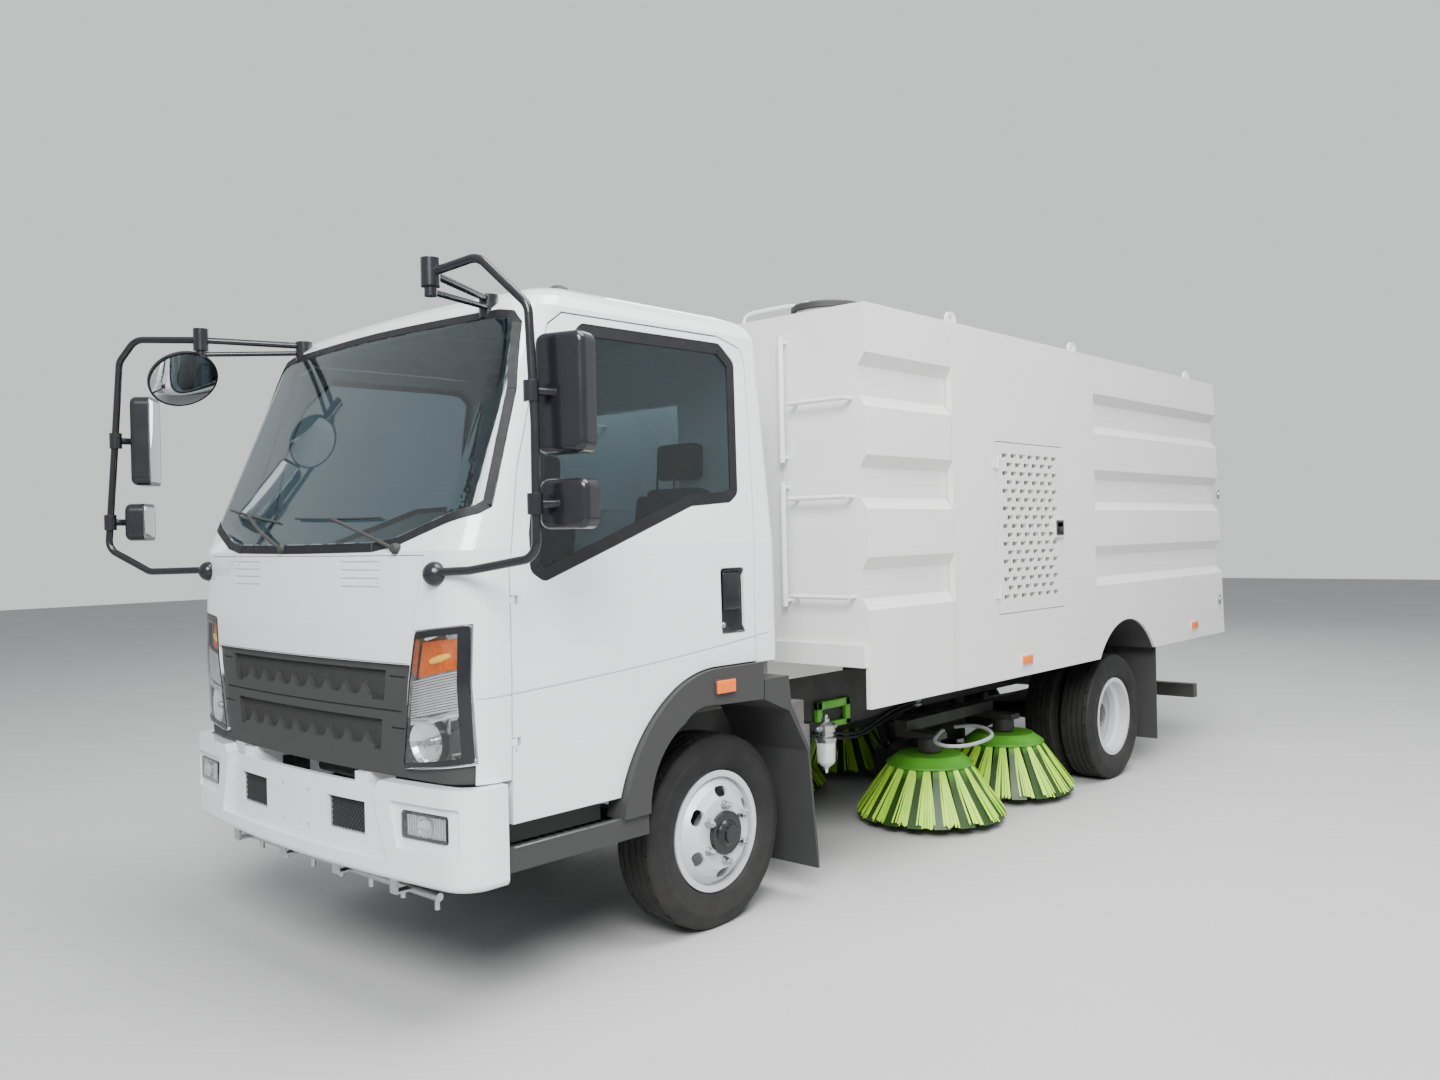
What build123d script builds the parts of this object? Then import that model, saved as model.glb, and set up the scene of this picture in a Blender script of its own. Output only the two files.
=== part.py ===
"""Street sweeper truck: two-axle cab-over chassis, water tank, tipping hopper, four disc brushes.

Frame: X forward, Y to the left, Z up, millimetres, ground at Z = 0.  Working coordinates are
measured from the front axle; every piece is moved by ORIGIN_SHIFT when it is written, so that the
origin lies on the ground under the middle of the vehicle's length.
"""
from build123d import *
import os
from math import atan2, cos, degrees, hypot, radians, sin

os.makedirs("parts", exist_ok=True)

# Whole vehicle
ORIGIN_SHIFT = 1908.0
WHEELBASE = 3560.0
FRONT_TRACK = 1520.0
REAR_TRACK = 1493.0
TWIN_SPACING = 233.0
SKIN_GAP = 6.0

# Tyre 215/75 R17.5 and 17.5 x 6.00 rim
TYRE_RADIUS = 383.5
TYRE_WIDTH = 211.0
TYRE_SHOULDER = 84.0
BEAD_RADIUS = 223.0
BEAD_HALF_WIDTH = 76.0
RIM_FLANGE_RADIUS = 238.0
RIM_WELL_RADIUS = 196.0
RIM_HALF_WIDTH = 88.0
RIM_THICKNESS = 9.0
DISC_OFFSET = 116.5
FRONT_DISC = 125.0
DISC_THICKNESS = 11.0
HUB_RADIUS = 84.0
HAND_HOLES = 6

# Frame and axles
RAIL_OUTER = 375.0
RAIL_FLANGE = 65.0
RAIL_WEB = 8.0
RAIL_BOTTOM = 560.0
RAIL_HEIGHT = 200.0
RAIL_FRONT = 1130.0
RAIL_REAR = -5080.0
SUBFRAME_HEIGHT = 80.0
KINGPIN_Y = 655.0
SPRING_Y = 372.0
SPRING_WIDTH = 64.0

# Cab
CAB_REAR = -300.0
CAB_WALL = 45.0
PANEL_DEPTH = 40.0
GLASS = 8.0
CAB_BELT = 1525.0
CAB_TILT_X = 1080.0
CAB_TILT_Z = 700.0
PIVOT_RADIUS = 25.0
REST_GAP = 5.0
FIREWALL_X = 1140.0
GRILLE_SET = 10.0
MESH_BANDS = [(1030.0, 1132.0, 530.0, 545.0), (862.0, 966.0, 500.0, 515.0)]
FIN_COUNT = 8
GRILLE_CREASE = 999.0
GRILLE_LEDGES = (943.0, 1113.0)
PANEL_SLOTS = (1488.0, 1460.0, 1432.0, 1404.0)
PANEL_SLOT_Y = 405.0
PANEL_SLOT_HALF = 114.0
FIN_PITCH = 116.0
CAB_UNDER = 780.0
SILL_Y = 840.0
SILL_THICK = 34.0
CAB_FLOOR = 850.0
SEAT_DECK = 1090.0
DOOR_HINGE_X = 1050.0
DOOR_HINGE_Y = 929.0
DOOR_HINGE_PIN = 5.0
DOOR_HINGES = (900.0, 1360.0)

# Body: water tank in front of the seam, tipping hopper behind it
BODY_HALF = 1030.0
BODY_TOP = 2571.0
SKIRT_BOTTOM = 776.0
TANK_FRONT = -820.0
TANK_BOTTOM = 960.0
SEAM_X = -1552.0
SEAM_GAP = 8.0
BODY_WALL = 60.0
HOPPER_FLOOR = 880.0
PARTITION_X = -3080.0
REAR_TOP_X = -5207.0
REAR_BOTTOM_X = -5346.0
REAR_DOOR_THICK = 70.0
RIB_DEPTH = 36.0
RIB_UPPER_BEVEL = 55.0
RIB_LOWER_BEVEL = 50.0
RIB_START_X = -3165.0
ARCH_X = -3615.0
ARCH_Z = 475.0
ARCH_RADIUS = 512.0
TAIL_LAMPS = ((700.0, 960.0),)
EYE_PLATES = (-1620.0, -2973.0, -4780.0)
TIP_X = -4950.0
TIP_Z = 800.0

LID_HINGE_X = -1176.0
LID_HINGE_Z = BODY_TOP + 26
LID_BARREL = 8.0
LID_PIN = 4.0

# Engine door in the hopper's side
DOOR2_FRONT = -1985.0
DOOR2_REAR = -2734.0
DOOR2_BOTTOM = 1120.0
DOOR2_TOP = 2008.0
DOOR2_THICK = 28.0
SLOT_LENGTH = 62.0
SLOT_HEIGHT = 21.0
SLOT_PITCH = 94.0
SLOT_ROW = 46.0
SLOT_ROWS = 17
HINGE_PIN = 4.0
HINGE_BARREL = 7.0
HATCH_HINGE_X = DOOR2_FRONT + 2
HATCH_HINGE_Y = BODY_HALF + 8
HATCH_HINGES = (1230.0, 1900.0)
TAIL_HINGE_X = REAR_TOP_X + REAR_DOOR_THICK - 2
TAIL_HINGE_Z = BODY_TOP + 14
TAIL_BARREL = 14.0
TAIL_PIN = 8.0
TAIL_HINGES = (-760.0, 0.0, 760.0)

# Brushes
BRUSH_Y = 600.0
BRUSH_FRONT_X = -1980.0
BRUSH_REAR_X = -2800.0
BRUSH_TIP_RADIUS = 400.0
BRUSH_TIP_Z = 45.0
BRUSH_ROOT_RADIUS = 215.0
BRUSH_ROOT_Z = 318.0
DISH_TOP_Z = 362.0
DISH_TOP_RADIUS = 170.0
BRUSH_ARM_Y = 300.0
BRUSH_ARM_Z = 520.0

# Suction nozzle and duct
NOZZLE_X = -2500.0
NOZZLE_Z = 524.0
DUCT_X = -2840.0
DUCT_Y = 175.0
DUCT_Z = 1080.0
DUCT_RADIUS = 126.0
DUCT_BORE = 118.0
SPIGOT_RADIUS = 84.0
SPIGOT_SHIFT = 14.0

# Hopper lift
LIFT_X = -4300.0
LIFT_Z = 620.0
EYE_X = -3180.0
EYE_Z = 830.0
LIFT_Y = 190.0
BARREL_RADIUS = 50.0
BORE_RADIUS = 40.0
ROD_RADIUS = 28.0
FIT = 0.05


def block(x0, x1, y0, y1, z0, z1):
    """Box between two corners."""
    return Pos((x0 + x1) / 2, (y0 + y1) / 2, (z0 + z1) / 2) * Box(x1 - x0, y1 - y0, z1 - z0)


def side_plate(sketch, y0, y1):
    """Extrude a side view (x, z) from y0 to y1."""
    return extrude(Plane.XZ.offset(-y1) * sketch, amount=y1 - y0, dir=(0, -1, 0))


def front_plate(sketch, x0, x1):
    """Extrude a front view (y, z) from x0 to x1."""
    return extrude(Plane.YZ.offset(x0) * sketch, amount=x1 - x0, dir=(1, 0, 0))


def plan_plate(sketch, z0, z1):
    """Extrude a plan view (x, y) from z0 to z1."""
    return extrude(Plane.XY.offset(z0) * sketch, amount=z1 - z0, dir=(0, 0, 1))


def outline(points, radius=0.0):
    """Closed polygon with rounded corners."""
    face = Polygon(*points, align=None)
    if radius:
        face = fillet(face.vertices(), radius)
    return face


def mirrored(points):
    """Half of a front view, completed on the other side."""
    return points + [(-y, z) for y, z in reversed(points) if abs(y) > 1e-6]


def rod_x(radius, x0, x1, y, z):
    """Cylinder along X."""
    return Pos((x0 + x1) / 2, y, z) * Rot(0, 90, 0) * Cylinder(radius, x1 - x0)


def rod_y(radius, y0, y1, x, z):
    """Cylinder along Y."""
    return Pos(x, (y0 + y1) / 2, z) * Rot(90, 0, 0) * Cylinder(radius, y1 - y0)


def rod_z(radius, z0, z1, x, y):
    """Cylinder along Z."""
    return Pos(x, y, (z0 + z1) / 2) * Cylinder(radius, z1 - z0)


def bar(start, end, radius):
    """Round bar between two points."""
    path = Line(start, end)
    return sweep(Plane(origin=path @ 0, z_dir=path % 0) * Circle(radius), path=path)


def tube(points, radius, bends):
    """Round tube along straight runs joined by tangent arcs."""
    path = FilletPolyline(*points, radius=bends)
    return sweep(Plane(origin=path @ 0, z_dir=path % 0) * Circle(radius), path=path)


def other_side(shape):
    """The same piece on the right-hand side."""
    return mirror(shape, about=Plane.XZ)


def both(shape):
    """The piece and its mirror image."""
    return Part() + [shape, other_side(shape)]


def write(name, shape):
    """Move a piece to the row frame and write it."""
    export_step(Pos(ORIGIN_SHIFT, 0, 0) * shape, f"parts/{name}.step")


# Cab form: plan sections (height, rear x, front x, half width, front corner, rear corner)
CAB_SECTIONS = [
    (600.0, CAB_REAR, 1298.0, 927.0, 150.0, 40.0),
    (1100.0, CAB_REAR, 1312.0, 940.0, 150.0, 40.0),
    (CAB_BELT, CAB_REAR, 1300.0, 934.0, 150.0, 40.0),
    (2362.0, CAB_REAR + 8, 952.0, 862.0, 120.0, 50.0),
    (2402.0, CAB_REAR + 18, 902.0, 838.0, 116.0, 52.0),
    (2434.0, CAB_REAR + 40, 846.0, 792.0, 110.0, 56.0),
    (2458.0, CAB_REAR + 76, 782.0, 730.0, 105.0, 60.0),
    (2477.0, CAB_REAR + 130, 690.0, 636.0, 98.0, 64.0),
    (2490.0, CAB_REAR + 215, 550.0, 490.0, 90.0, 68.0),
]
CAB_SAG = 60.0


def cab_form(side, front, rear, top):
    """The cab's outer form, or the same form set inwards."""
    rings = []
    for z, x_rear, x_front, half, r_front, r_rear in CAB_SECTIONS:
        w = half - side
        nose = x_front - front
        corner = nose - CAB_SAG
        back = x_rear + rear
        edge = Polyline((corner, -w), (back, -w), (back, w), (corner, w))
        face = make_face(edge + ThreePointArc((corner, w), (nose, 0), (corner, -w)))
        order = face.vertices().sort_by(Axis.X)
        face = fillet(order[-2:], r_front - min(side, front))
        order = face.vertices().sort_by(Axis.X)
        face = fillet(order[:2], r_rear - min(side, rear, r_rear - 8))
        rings.append(Pos(0, 0, z - top * min(1.0, max(0.0, (z - 2362) / 70))) * face)
    return loft(rings, ruled=True)


cab_outer = cab_form(0, 0, 0, 0)
cab_panel_face = cab_form(PANEL_DEPTH, PANEL_DEPTH, PANEL_DEPTH, PANEL_DEPTH)
cab_glass_face = cab_form(GLASS, GLASS, GLASS, GLASS)
cab_cavity = cab_form(CAB_WALL, CAB_WALL, CAB_WALL, CAB_WALL)

# Side views of the cab
ARCH_TOP = 1044.0
ARCH_OUTER = [(598, 560), (515, 790), (350, 962), (72, ARCH_TOP), (-175, ARCH_TOP)]
ARCH_INNER = [(470, 560), (400, 765), (284, 858), (110, 905), (-175, 895)]


def arch_sketch(points, x_end, z_floor):
    """Area under a wheel arch line."""
    (x0, z0), a, b, c, (x1, z1) = points
    line = ThreePointArc((x0, z0), a, b)
    line2 = ThreePointArc(b, ((b[0] + c[0]) / 2 + 8, (b[1] + c[1]) / 2 + 22), c)
    edges = line + line2 + Line(c, (x_end, z1))
    corners = [(x_end, z1), (x_end, z_floor), (x0, z_floor)]
    if z_floor != z0:
        corners.append((x0, z0))
    return make_face(edges + Polyline(*corners))


under_cab = side_plate(outline([(1500, 300), (1500, CAB_UNDER), (500, CAB_UNDER), (500, 300)]), -1100, 1100)
wheel_void = side_plate(arch_sketch(ARCH_OUTER, -500, 300), -1100, 1100)

DOOR_LINE = [
    (1064, 634), (1061, 1460), (1002, 1790), (915, 2057), (824, 2290), (760, 2336),
    (-40, 2344), (-166, 2310), (-190, 2262), (-180, 1906), (-152, 1378), (-149, 1052),
    (-149, 900), (560, 634),
]
WINDOW_LINE = [
    (955, 1575), (880, 1960), (800, 2160), (668, 2290), (-40, 2298), (-108, 2240),
    (-66, 1730), (-30, 1706), (190, 1690), (917, 1436), (958, 1462),
]
arch_gap = side_plate(offset(arch_sketch(ARCH_OUTER, -500, 300), SKIN_GAP), 500, 1100)
door_area = side_plate(outline(DOOR_LINE), 500, 1100) - arch_gap
window_area = side_plate(outline(WINDOW_LINE, 18), 500, 1100)
window_rebate = side_plate(offset(outline(WINDOW_LINE, 18), 22), 500, 1100)


def grown_side(points, grow, y0, y1):
    """A side view grown outwards and extruded."""
    return side_plate(offset(outline(points), grow, kind=Kind.INTERSECTION), y0, y1)


WINDSHIELD = mirrored([
    (0, 1519), (480, 1523), (600, 1541), (896, 1640), (912, 1662), (899, 1790), (871, 2057),
    (826, 2296), (790, 2338), (713, 2352), (0, 2358),
])
PANEL = mirrored([(0, 1160), (668, 1160), (748, 1510), (0, 1510)])
LAMP = [(628, 812), (912, 850), (912, 1290), (707, 1266)]
LAMP_GAP = 4.0
GRILLE = mirrored([
    (0, 782), (905, 782), (908, 850 - 2 * LAMP_GAP), (628 - LAMP_GAP, 812 - LAMP_GAP), (687 - LAMP_GAP, 1154),
    (0, 1154)])
SWAGE_HEIGHT = 9.0
SWAGE_DEPTH = 4.0

windshield_area = front_plate(outline(WINDSHIELD, 14), 600, 1500)
windshield_hole = front_plate(offset(outline(WINDSHIELD, 14), -34), 600, 1500)
panel_area = front_plate(outline(PANEL), 900, 1500)
grille_area = front_plate(outline(GRILLE), 1112, 1500)
lamp_area = front_plate(outline(LAMP, 12), 1110, 1500)


def grown_front(points, grow, x0, x1):
    """A front view grown outwards and extruded."""
    return front_plate(offset(outline(points), grow, kind=Kind.INTERSECTION), x0, x1)


# Cab shell
skin = cab_outer - cab_panel_face
inside = cab_cavity - block(FIREWALL_X, 1500, -1100, 1100, 500, 1490)
inside -= block(-500, 1500, -1100, 1100, 500, CAB_FLOOR)
inside -= block(-500, 590, -1100, 1100, 500, SEAT_DECK)
inside -= block(-500, 760, -220, 220, 500, 1190)
cab_shell = cab_outer - inside - under_cab - wheel_void
cab_shell -= (cab_outer - cab_glass_face) & windshield_area
cab_shell -= windshield_hole & block(700, 1500, -1100, 1100, 1500, 2420)
cab_shell -= skin & grown_front(PANEL, 2, 900, 1500)
cab_shell -= skin & grown_front(GRILLE, 2, 1110, 1500)
lamp_hole = skin & grown_front(LAMP, 2, 1108, 1500)
cab_shell -= lamp_hole
cab_shell -= other_side(lamp_hole)
swage_top = ThreePointArc((1190, 1054), (500, 1092), (-240, 1162))
swage_low = ThreePointArc((1190, 1054 - SWAGE_HEIGHT), (500, 1092 - SWAGE_HEIGHT), (-240, 1162 - SWAGE_HEIGHT))
swage = side_plate(make_face(
    swage_top + Line(swage_top @ 1, swage_low @ 1) + swage_low + Line(swage_low @ 0, swage_top @ 0)), 700, 1100)
swage = swage & (cab_outer - cab_form(SWAGE_DEPTH, SWAGE_DEPTH, SWAGE_DEPTH, SWAGE_DEPTH))
cab_shell -= swage
cab_shell -= other_side(swage)
door_hole = grown_side(DOOR_LINE, SKIN_GAP, 0, 1100) & (cab_outer - cab_form(CAB_WALL + 5, 0, 0, 0))
door_through = side_plate(outline([
    (1000, 870), (950, 1440), (905, 1760), (830, 2030), (750, 2230), (690, 2290),
    (-30, 2290), (-120, 2240), (-120, 1900), (-90, 1378), (-90, 1110), (590, 1110), (600, 870),
], 20), 500, 1100)
cab_shell -= door_hole
cab_shell -= other_side(door_hole)
cab_shell -= door_through
cab_shell -= other_side(door_through)
rear_window = block(-420, -200, -430, 430, 1680, 2130)
rear_rebate = block(-420, CAB_REAR + GLASS + 2, -455, 455, 1655, 2155)
cab_shell -= rear_window
cab_shell -= rear_rebate
sill = block(610, 1060, SILL_Y, SILL_Y + SILL_THICK, 640, CAB_UNDER + 10)
cab_shell += sill
cab_shell += other_side(sill)
for z in DOOR_HINGES:
    leaf = block(DOOR_HINGE_X - 6, DOOR_HINGE_X + 32, DOOR_HINGE_Y - 8, DOOR_HINGE_Y + 5, z - 12, z + 12)
    leaf += rod_z(DOOR_HINGE_PIN, z - 30, z + 30, DOOR_HINGE_X, DOOR_HINGE_Y)
    cab_shell += leaf
    cab_shell += other_side(leaf)
bracket = block(CAB_TILT_X - 40, CAB_TILT_X + 40, 230, 270, CAB_TILT_Z - 45, CAB_UNDER + 5)
bracket -= rod_y(PIVOT_RADIUS + FIT, 200, 300, CAB_TILT_X, CAB_TILT_Z)
cab_shell += bracket
cab_shell += other_side(bracket)
write("cab_shell", cab_shell)

windshield = (cab_outer - cab_glass_face) & front_plate(offset(outline(WINDSHIELD, 14), -1.5), 600, 1500)
rear_glass = block(CAB_REAR + 2, CAB_REAR + 2 + GLASS, -452, 452, 1658, 2152)
write("cab_glass", Part() + [windshield, rear_glass])

front_panel = skin & panel_area
slot_areas = Part()
for z in PANEL_SLOTS:
    slot_areas += both(block(1200, 1500, PANEL_SLOT_Y - PANEL_SLOT_HALF, PANEL_SLOT_Y + PANEL_SLOT_HALF, z - 5, z + 5))
front_panel -= (cab_outer - cab_form(SWAGE_DEPTH, SWAGE_DEPTH, SWAGE_DEPTH, SWAGE_DEPTH)) & slot_areas
write("front_panel", front_panel)

grille_face = cab_form(GRILLE_SET, GRILLE_SET, GRILLE_SET, GRILLE_SET)
grille = (grille_face - cab_panel_face) & grille_area
waves = Part()
mesh_floor = cab_form(GRILLE_SET + 20, GRILLE_SET + 20, GRILLE_SET + 20, GRILLE_SET + 20)
for low, high, half_low, half_high in MESH_BANDS:
    band_area = front_plate(outline(mirrored([
        (0, low), (half_low, low), (half_high, high), (0, high)])), 1112, 1500)
    grille -= (grille_face - mesh_floor) & band_area
    for index in range(FIN_COUNT):
        y = (index - (FIN_COUNT - 1) / 2) * FIN_PITCH
        wave = Polyline((y - FIN_PITCH / 2, low - 2), (y - FIN_PITCH / 2, low + 12))
        wave += ThreePointArc((y - FIN_PITCH / 2, low + 12), (y - 8, low + 26), (y + 10, low + 56))
        wave += ThreePointArc((y + 10, low + 56), (y + 22, low + 28), (y + FIN_PITCH / 2, low + 12))
        wave += Polyline((y + FIN_PITCH / 2, low + 12), (y + FIN_PITCH / 2, low - 2), (y - FIN_PITCH / 2, low - 2))
        waves += front_plate(make_face(wave), 1112, 1500)
grooves = block(1112, 1500, -620, 620, GRILLE_CREASE - 3, GRILLE_CREASE + 3)
for z in GRILLE_LEDGES:
    grooves += both(block(1112, 1500, 566, 646, z - 3, z + 3))
grille += (grille_face - mesh_floor) & waves
grille -= (grille_face - cab_form(GRILLE_SET + 5, GRILLE_SET + 5, GRILLE_SET + 5, GRILLE_SET + 5)) & grooves
write("grille", grille)

lamp = skin & lamp_area
write("headlamps", both(lamp))

# Doors
door_skin = cab_outer - cab_form(CAB_WALL, 0, 0, 0)
door = door_skin & door_area
recess_face = cab_form(15, 0, 0, 0)
door -= (cab_outer - recess_face) & window_rebate
door -= window_area
door -= swage
handle = side_plate(outline([(-88, 1170), (48, 1170), (48, 1428), (-88, 1428)], 16), 900, 1100)
door -= handle & (cab_outer - cab_form(18, 0, 0, 0))
for z in DOOR_HINGES:
    door -= block(DOOR_HINGE_X - 20, DOOR_HINGE_X + 20, DOOR_HINGE_Y - 14, 1000, z - 14, z + 14)
    door -= rod_z(DOOR_HINGE_PIN + FIT, z - 31, z + 31, DOOR_HINGE_X, DOOR_HINGE_Y)
glass = (cab_form(6, 0, 0, 0) - recess_face) & side_plate(offset(outline(WINDOW_LINE, 18), 20), 500, 1100)
write("door_left", door)
write("door_right", other_side(door))
write("door_glass_left", glass)
write("door_glass_right", other_side(glass))

# Wheel arch trims with steps
band = arch_sketch(ARCH_OUTER, -175, 560) - arch_sketch(ARCH_INNER, -175, 560)
trim = side_plate(band, 862, 958)
liner = side_plate(arch_sketch(ARCH_OUTER, -290, 700) - offset(arch_sketch(ARCH_OUTER, -290, 300), -8), 600, 862)
trim += liner & block(-184, 620, 600, 862, 700, 1100)
step = block(470, 1095, 700, 945, 485, 560) - block(520, 1060, 730, 905, 520, 600)
step += block(640, 1060, SILL_Y, SILL_Y + SILL_THICK, 560, 640)
trim += step
write("cab_fenders", both(trim))

# Bumper and spray bar
BUMPER_BOTTOM = 450.0
BUMPER_TOP = 776.0
CENTRE_TOP = 748.0
CENTRE_SET = 24.0


def bumper_plan(inset):
    """Plan of the bumper set inwards."""
    nose = 1350.0 - inset
    corner = nose - 78
    w = 962.0 - inset
    edge = Polyline((corner, -w), (1108.0, -w), (1108.0, w), (corner, w))
    face = make_face(edge + ThreePointArc((corner, w), (nose, 0), (corner, -w)))
    return fillet(face.vertices().sort_by(Axis.X)[-2:], 120.0 - inset)


bumper = plan_plate(bumper_plan(0), BUMPER_BOTTOM, BUMPER_TOP)
lower_edge = [edge for edge in bumper.edges().group_by(Axis.Z)[0] if edge.center().X > 1115]
bumper = fillet(lower_edge, 26)
bumper -= plan_plate(bumper_plan(45), BUMPER_BOTTOM + 40, BUMPER_TOP + 1)
bumper -= block(1000, 1262, -1100, 1100, BUMPER_BOTTOM - 1, BUMPER_TOP + 1) & plan_plate(
    bumper_plan(45), 400, 900)
centre = front_plate(outline(mirrored([
    (0, 512), (590, 512), (505, BUMPER_TOP + 1), (0, BUMPER_TOP + 1)])), 1100, 1500)
bumper -= (plan_plate(bumper_plan(0), 500, 800) - plan_plate(bumper_plan(CENTRE_SET), 500, 800)) & centre
bumper -= front_plate(outline(mirrored([(0, CENTRE_TOP), (530, CENTRE_TOP), (560, BUMPER_TOP + 1),
                                        (0, BUMPER_TOP + 1)])), 1100, 1500)
for y in (-330, 330):
    bumper -= block(1200, 1400, y - 112, y + 112, 573, 685)
for y in (-88, 88):
    for z in (555, 678):
        bumper -= block(1200, 1400, y - 9, y + 9, z - 9, z + 9)
FOG = [(655, 600), (870, 600), (870, 690), (655, 690)]
fog_area = front_plate(outline(FOG, 10), 1100, 1400)
scoop_area = front_plate(outline([(640, 566), (915, 574), (915, 716), (606, 716)], 12), 1100, 1400)
bumper_skin = plan_plate(bumper_plan(0), 500, 730) - plan_plate(bumper_plan(30), 500, 730)
scoop = (plan_plate(bumper_plan(0), 500, 730) - plan_plate(bumper_plan(12), 500, 730)) & scoop_area
for area in (bumper_skin & fog_area, scoop):
    bumper -= area
    bumper -= other_side(area)
for y in (-400, 400):
    bumper += block(1180, 1300, y - 30, y + 30, 700, CAB_UNDER)
write("bumper", bumper)
fog = (plan_plate(bumper_plan(16), 500, 700) - plan_plate(bumper_plan(30), 500, 700)) & front_plate(
    outline(FOG, 10), 1100, 1400)
write("fog_lamps", both(fog))

SPRAY_X = 1206.0
SPRAY_Z = 392.0
SPRAY_HALF = 716.0
spray = rod_y(14, -SPRAY_HALF, SPRAY_HALF, SPRAY_X, SPRAY_Z)
for index in range(8):
    y = -SPRAY_HALF + 14 + index * (2 * SPRAY_HALF - 28) / 7
    spray += rod_z(9, 350, SPRAY_Z, SPRAY_X, y)
for y in (-560, -190, 190, 560):
    spray += block(SPRAY_X - 5, SPRAY_X + 75, y - 20, y + 20, SPRAY_Z, SPRAY_Z + 8)
    spray += block(SPRAY_X + 67, SPRAY_X + 75, y - 20, y + 20, SPRAY_Z, BUMPER_BOTTOM)
write("spray_bar", spray)

# Cab interior
dash_top = outline([(1140, 1180), (1140, 1490), (1090, 1470), (900, 1420), (860, 1330), (930, 1200)], 20)
dashboard = side_plate(dash_top, -870, 870)
write("dashboard", dashboard)

seats = Part()
for y, width in ((470, 480), (-470, 480)):
    cushion = block(-80, 420, y - width / 2, y + width / 2, SEAT_DECK, SEAT_DECK + 130)
    cushion = fillet(cushion.edges().filter_by(Axis.Z), 40)
    rest = side_plate(outline([(-90, 1225), (30, 1225), (-60, 1780), (-170, 1780)], 25), y - 220, y + 220)
    head = block(-185, -85, y - 120, y + 120, 1790, 1960)
    post = block(-150, -120, y - 60, y + 60, 1770, 1800)
    foot = block(-90, 30, y - 150, y + 150, SEAT_DECK + 100, 1260)
    seats += [cushion + rest + head + post + foot]
write("seats", seats)

wheel_centre = (735.0, 470.0, 1500.0)
rake = Pos(*wheel_centre) * Rot(0, -40, 0)
steering = rake * Torus(215, 16)
steering += rake * Cylinder(60, 40)
for turn in (0, 120, 240):
    steering += rake * Rot(0, 0, turn) * Pos(110, 0, 0) * Box(200, 34, 14)
steering += rake * Pos(0, 0, -130) * Cylinder(36, 240)
steering -= dashboard
write("steering_wheel", steering)

# Mirrors: tube frames that swing about an upright axis through a knuckle and a ball
MIRROR_TUBE = 14.0
MIRROR_AXIS = (1263.0, 823.0)
HINGE_BASE = (905.0, 644.0)
FRAME_LINE = [(0, 1457), (130, 1462), (388, 1500), (392, 1900), (376, 2262), (190, 2432), (0, 2404)]
SWUNG_LINE = [(0, 1457), (253, 1454), (440, 1552), (405, 1940), (372, 2330), (297, 2419), (0, 2404)]
BLIND_RADIUS = 137.0


def mirror_side(line, swing, head_turn, head_shift, blind):
    """Tube frame, arms and mirror heads of the left side; swing turns the frame forward."""
    ax, ay = MIRROR_AXIS
    way = (sin(radians(swing)), cos(radians(swing)))
    points = [(ax + r * way[0], ay + r * way[1], z) for r, z in line]
    piece = tube(points, MIRROR_TUBE, [50, 60, 500, 60, 70])
    piece += rod_z(30, 2360, 2450, ax, ay)
    piece += rod_z(20, 2330, 2362, ax, ay)
    piece += bar((ax, ay, 2404), (HINGE_BASE[0], HINGE_BASE[1], 2396), 13)
    piece += bar((ax, ay, 2345), (HINGE_BASE[0], HINGE_BASE[1] + 6, 2366), 10)
    piece += rod_z(34, 2330, 2412, *HINGE_BASE)
    piece += Pos(ax - 4, ay - 16, 1452) * Sphere(40)
    for z, height in ((2002, 372), (1662, 156)):
        share = (z - 1552) / (2262 - 1552)
        reach = line[2][0] + (line[4][0] - line[2][0]) * share
        tx, ty = ax + reach * way[0], ay + reach * way[1]
        at = Pos(tx + head_shift[0], ty + head_shift[1], z) * Rot(0, 0, head_turn)
        head = Box(76, 177, height)
        head = fillet(head.edges().filter_by(Axis.X), 34)
        back = head.faces().sort_by(Axis.X)[-1]
        head = fillet(back.edges(), 22)
        clamp = rod_z(24, z - 32, z + 32, tx, ty)
        clamp += bar((tx, ty, z), (tx + head_shift[0], ty + head_shift[1], z), 14)
        piece += [at * head, clamp]
    if blind:
        cx, cy, cz = 1306, 900, 2249
        bowl = Cylinder(BLIND_RADIUS, 12) + Pos(0, 0, -16) * Cone(BLIND_RADIUS - 50, BLIND_RADIUS - 6, 22)
        normal = Plane(origin=(cx, cy, cz), z_dir=(0.05, -0.82, -0.77))
        piece += normal * bowl
        piece += tube([(ax, ay, 2346), (ax + 8, ay + 14, 2330), (cx - 8, cy, cz + 10)], 9, [12])
    return piece - cab_outer


left_mirror = mirror_side(FRAME_LINE, -15, 17.5, (-110, 26), False)
right_mirror = mirror_side(SWUNG_LINE, 33.2, 37, (-115, -8), True)
write("mirrors", Part() + [left_mirror, other_side(right_mirror)])

# Frame
RAIL_TOP = RAIL_BOTTOM + RAIL_HEIGHT
rail = block(RAIL_REAR, RAIL_FRONT, RAIL_OUTER - RAIL_FLANGE, RAIL_OUTER, RAIL_BOTTOM, RAIL_TOP)
rail -= block(RAIL_REAR - 1, RAIL_FRONT + 1, RAIL_OUTER - RAIL_FLANGE - 1, RAIL_OUTER - RAIL_WEB,
              RAIL_BOTTOM + RAIL_WEB, RAIL_TOP - RAIL_WEB)
frame = rail + other_side(rail)
for x in (960, 420, -900, -1500, -2390, -3080, -4420, -5040):
    frame += block(x - 35, x + 35, -RAIL_OUTER + RAIL_WEB, RAIL_OUTER - RAIL_WEB, RAIL_BOTTOM + 30, RAIL_TOP - 30)
beam = block(-4990, -900, RAIL_OUTER - 55, RAIL_OUTER, RAIL_TOP, RAIL_TOP + SUBFRAME_HEIGHT)
frame += beam + other_side(beam)
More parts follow.
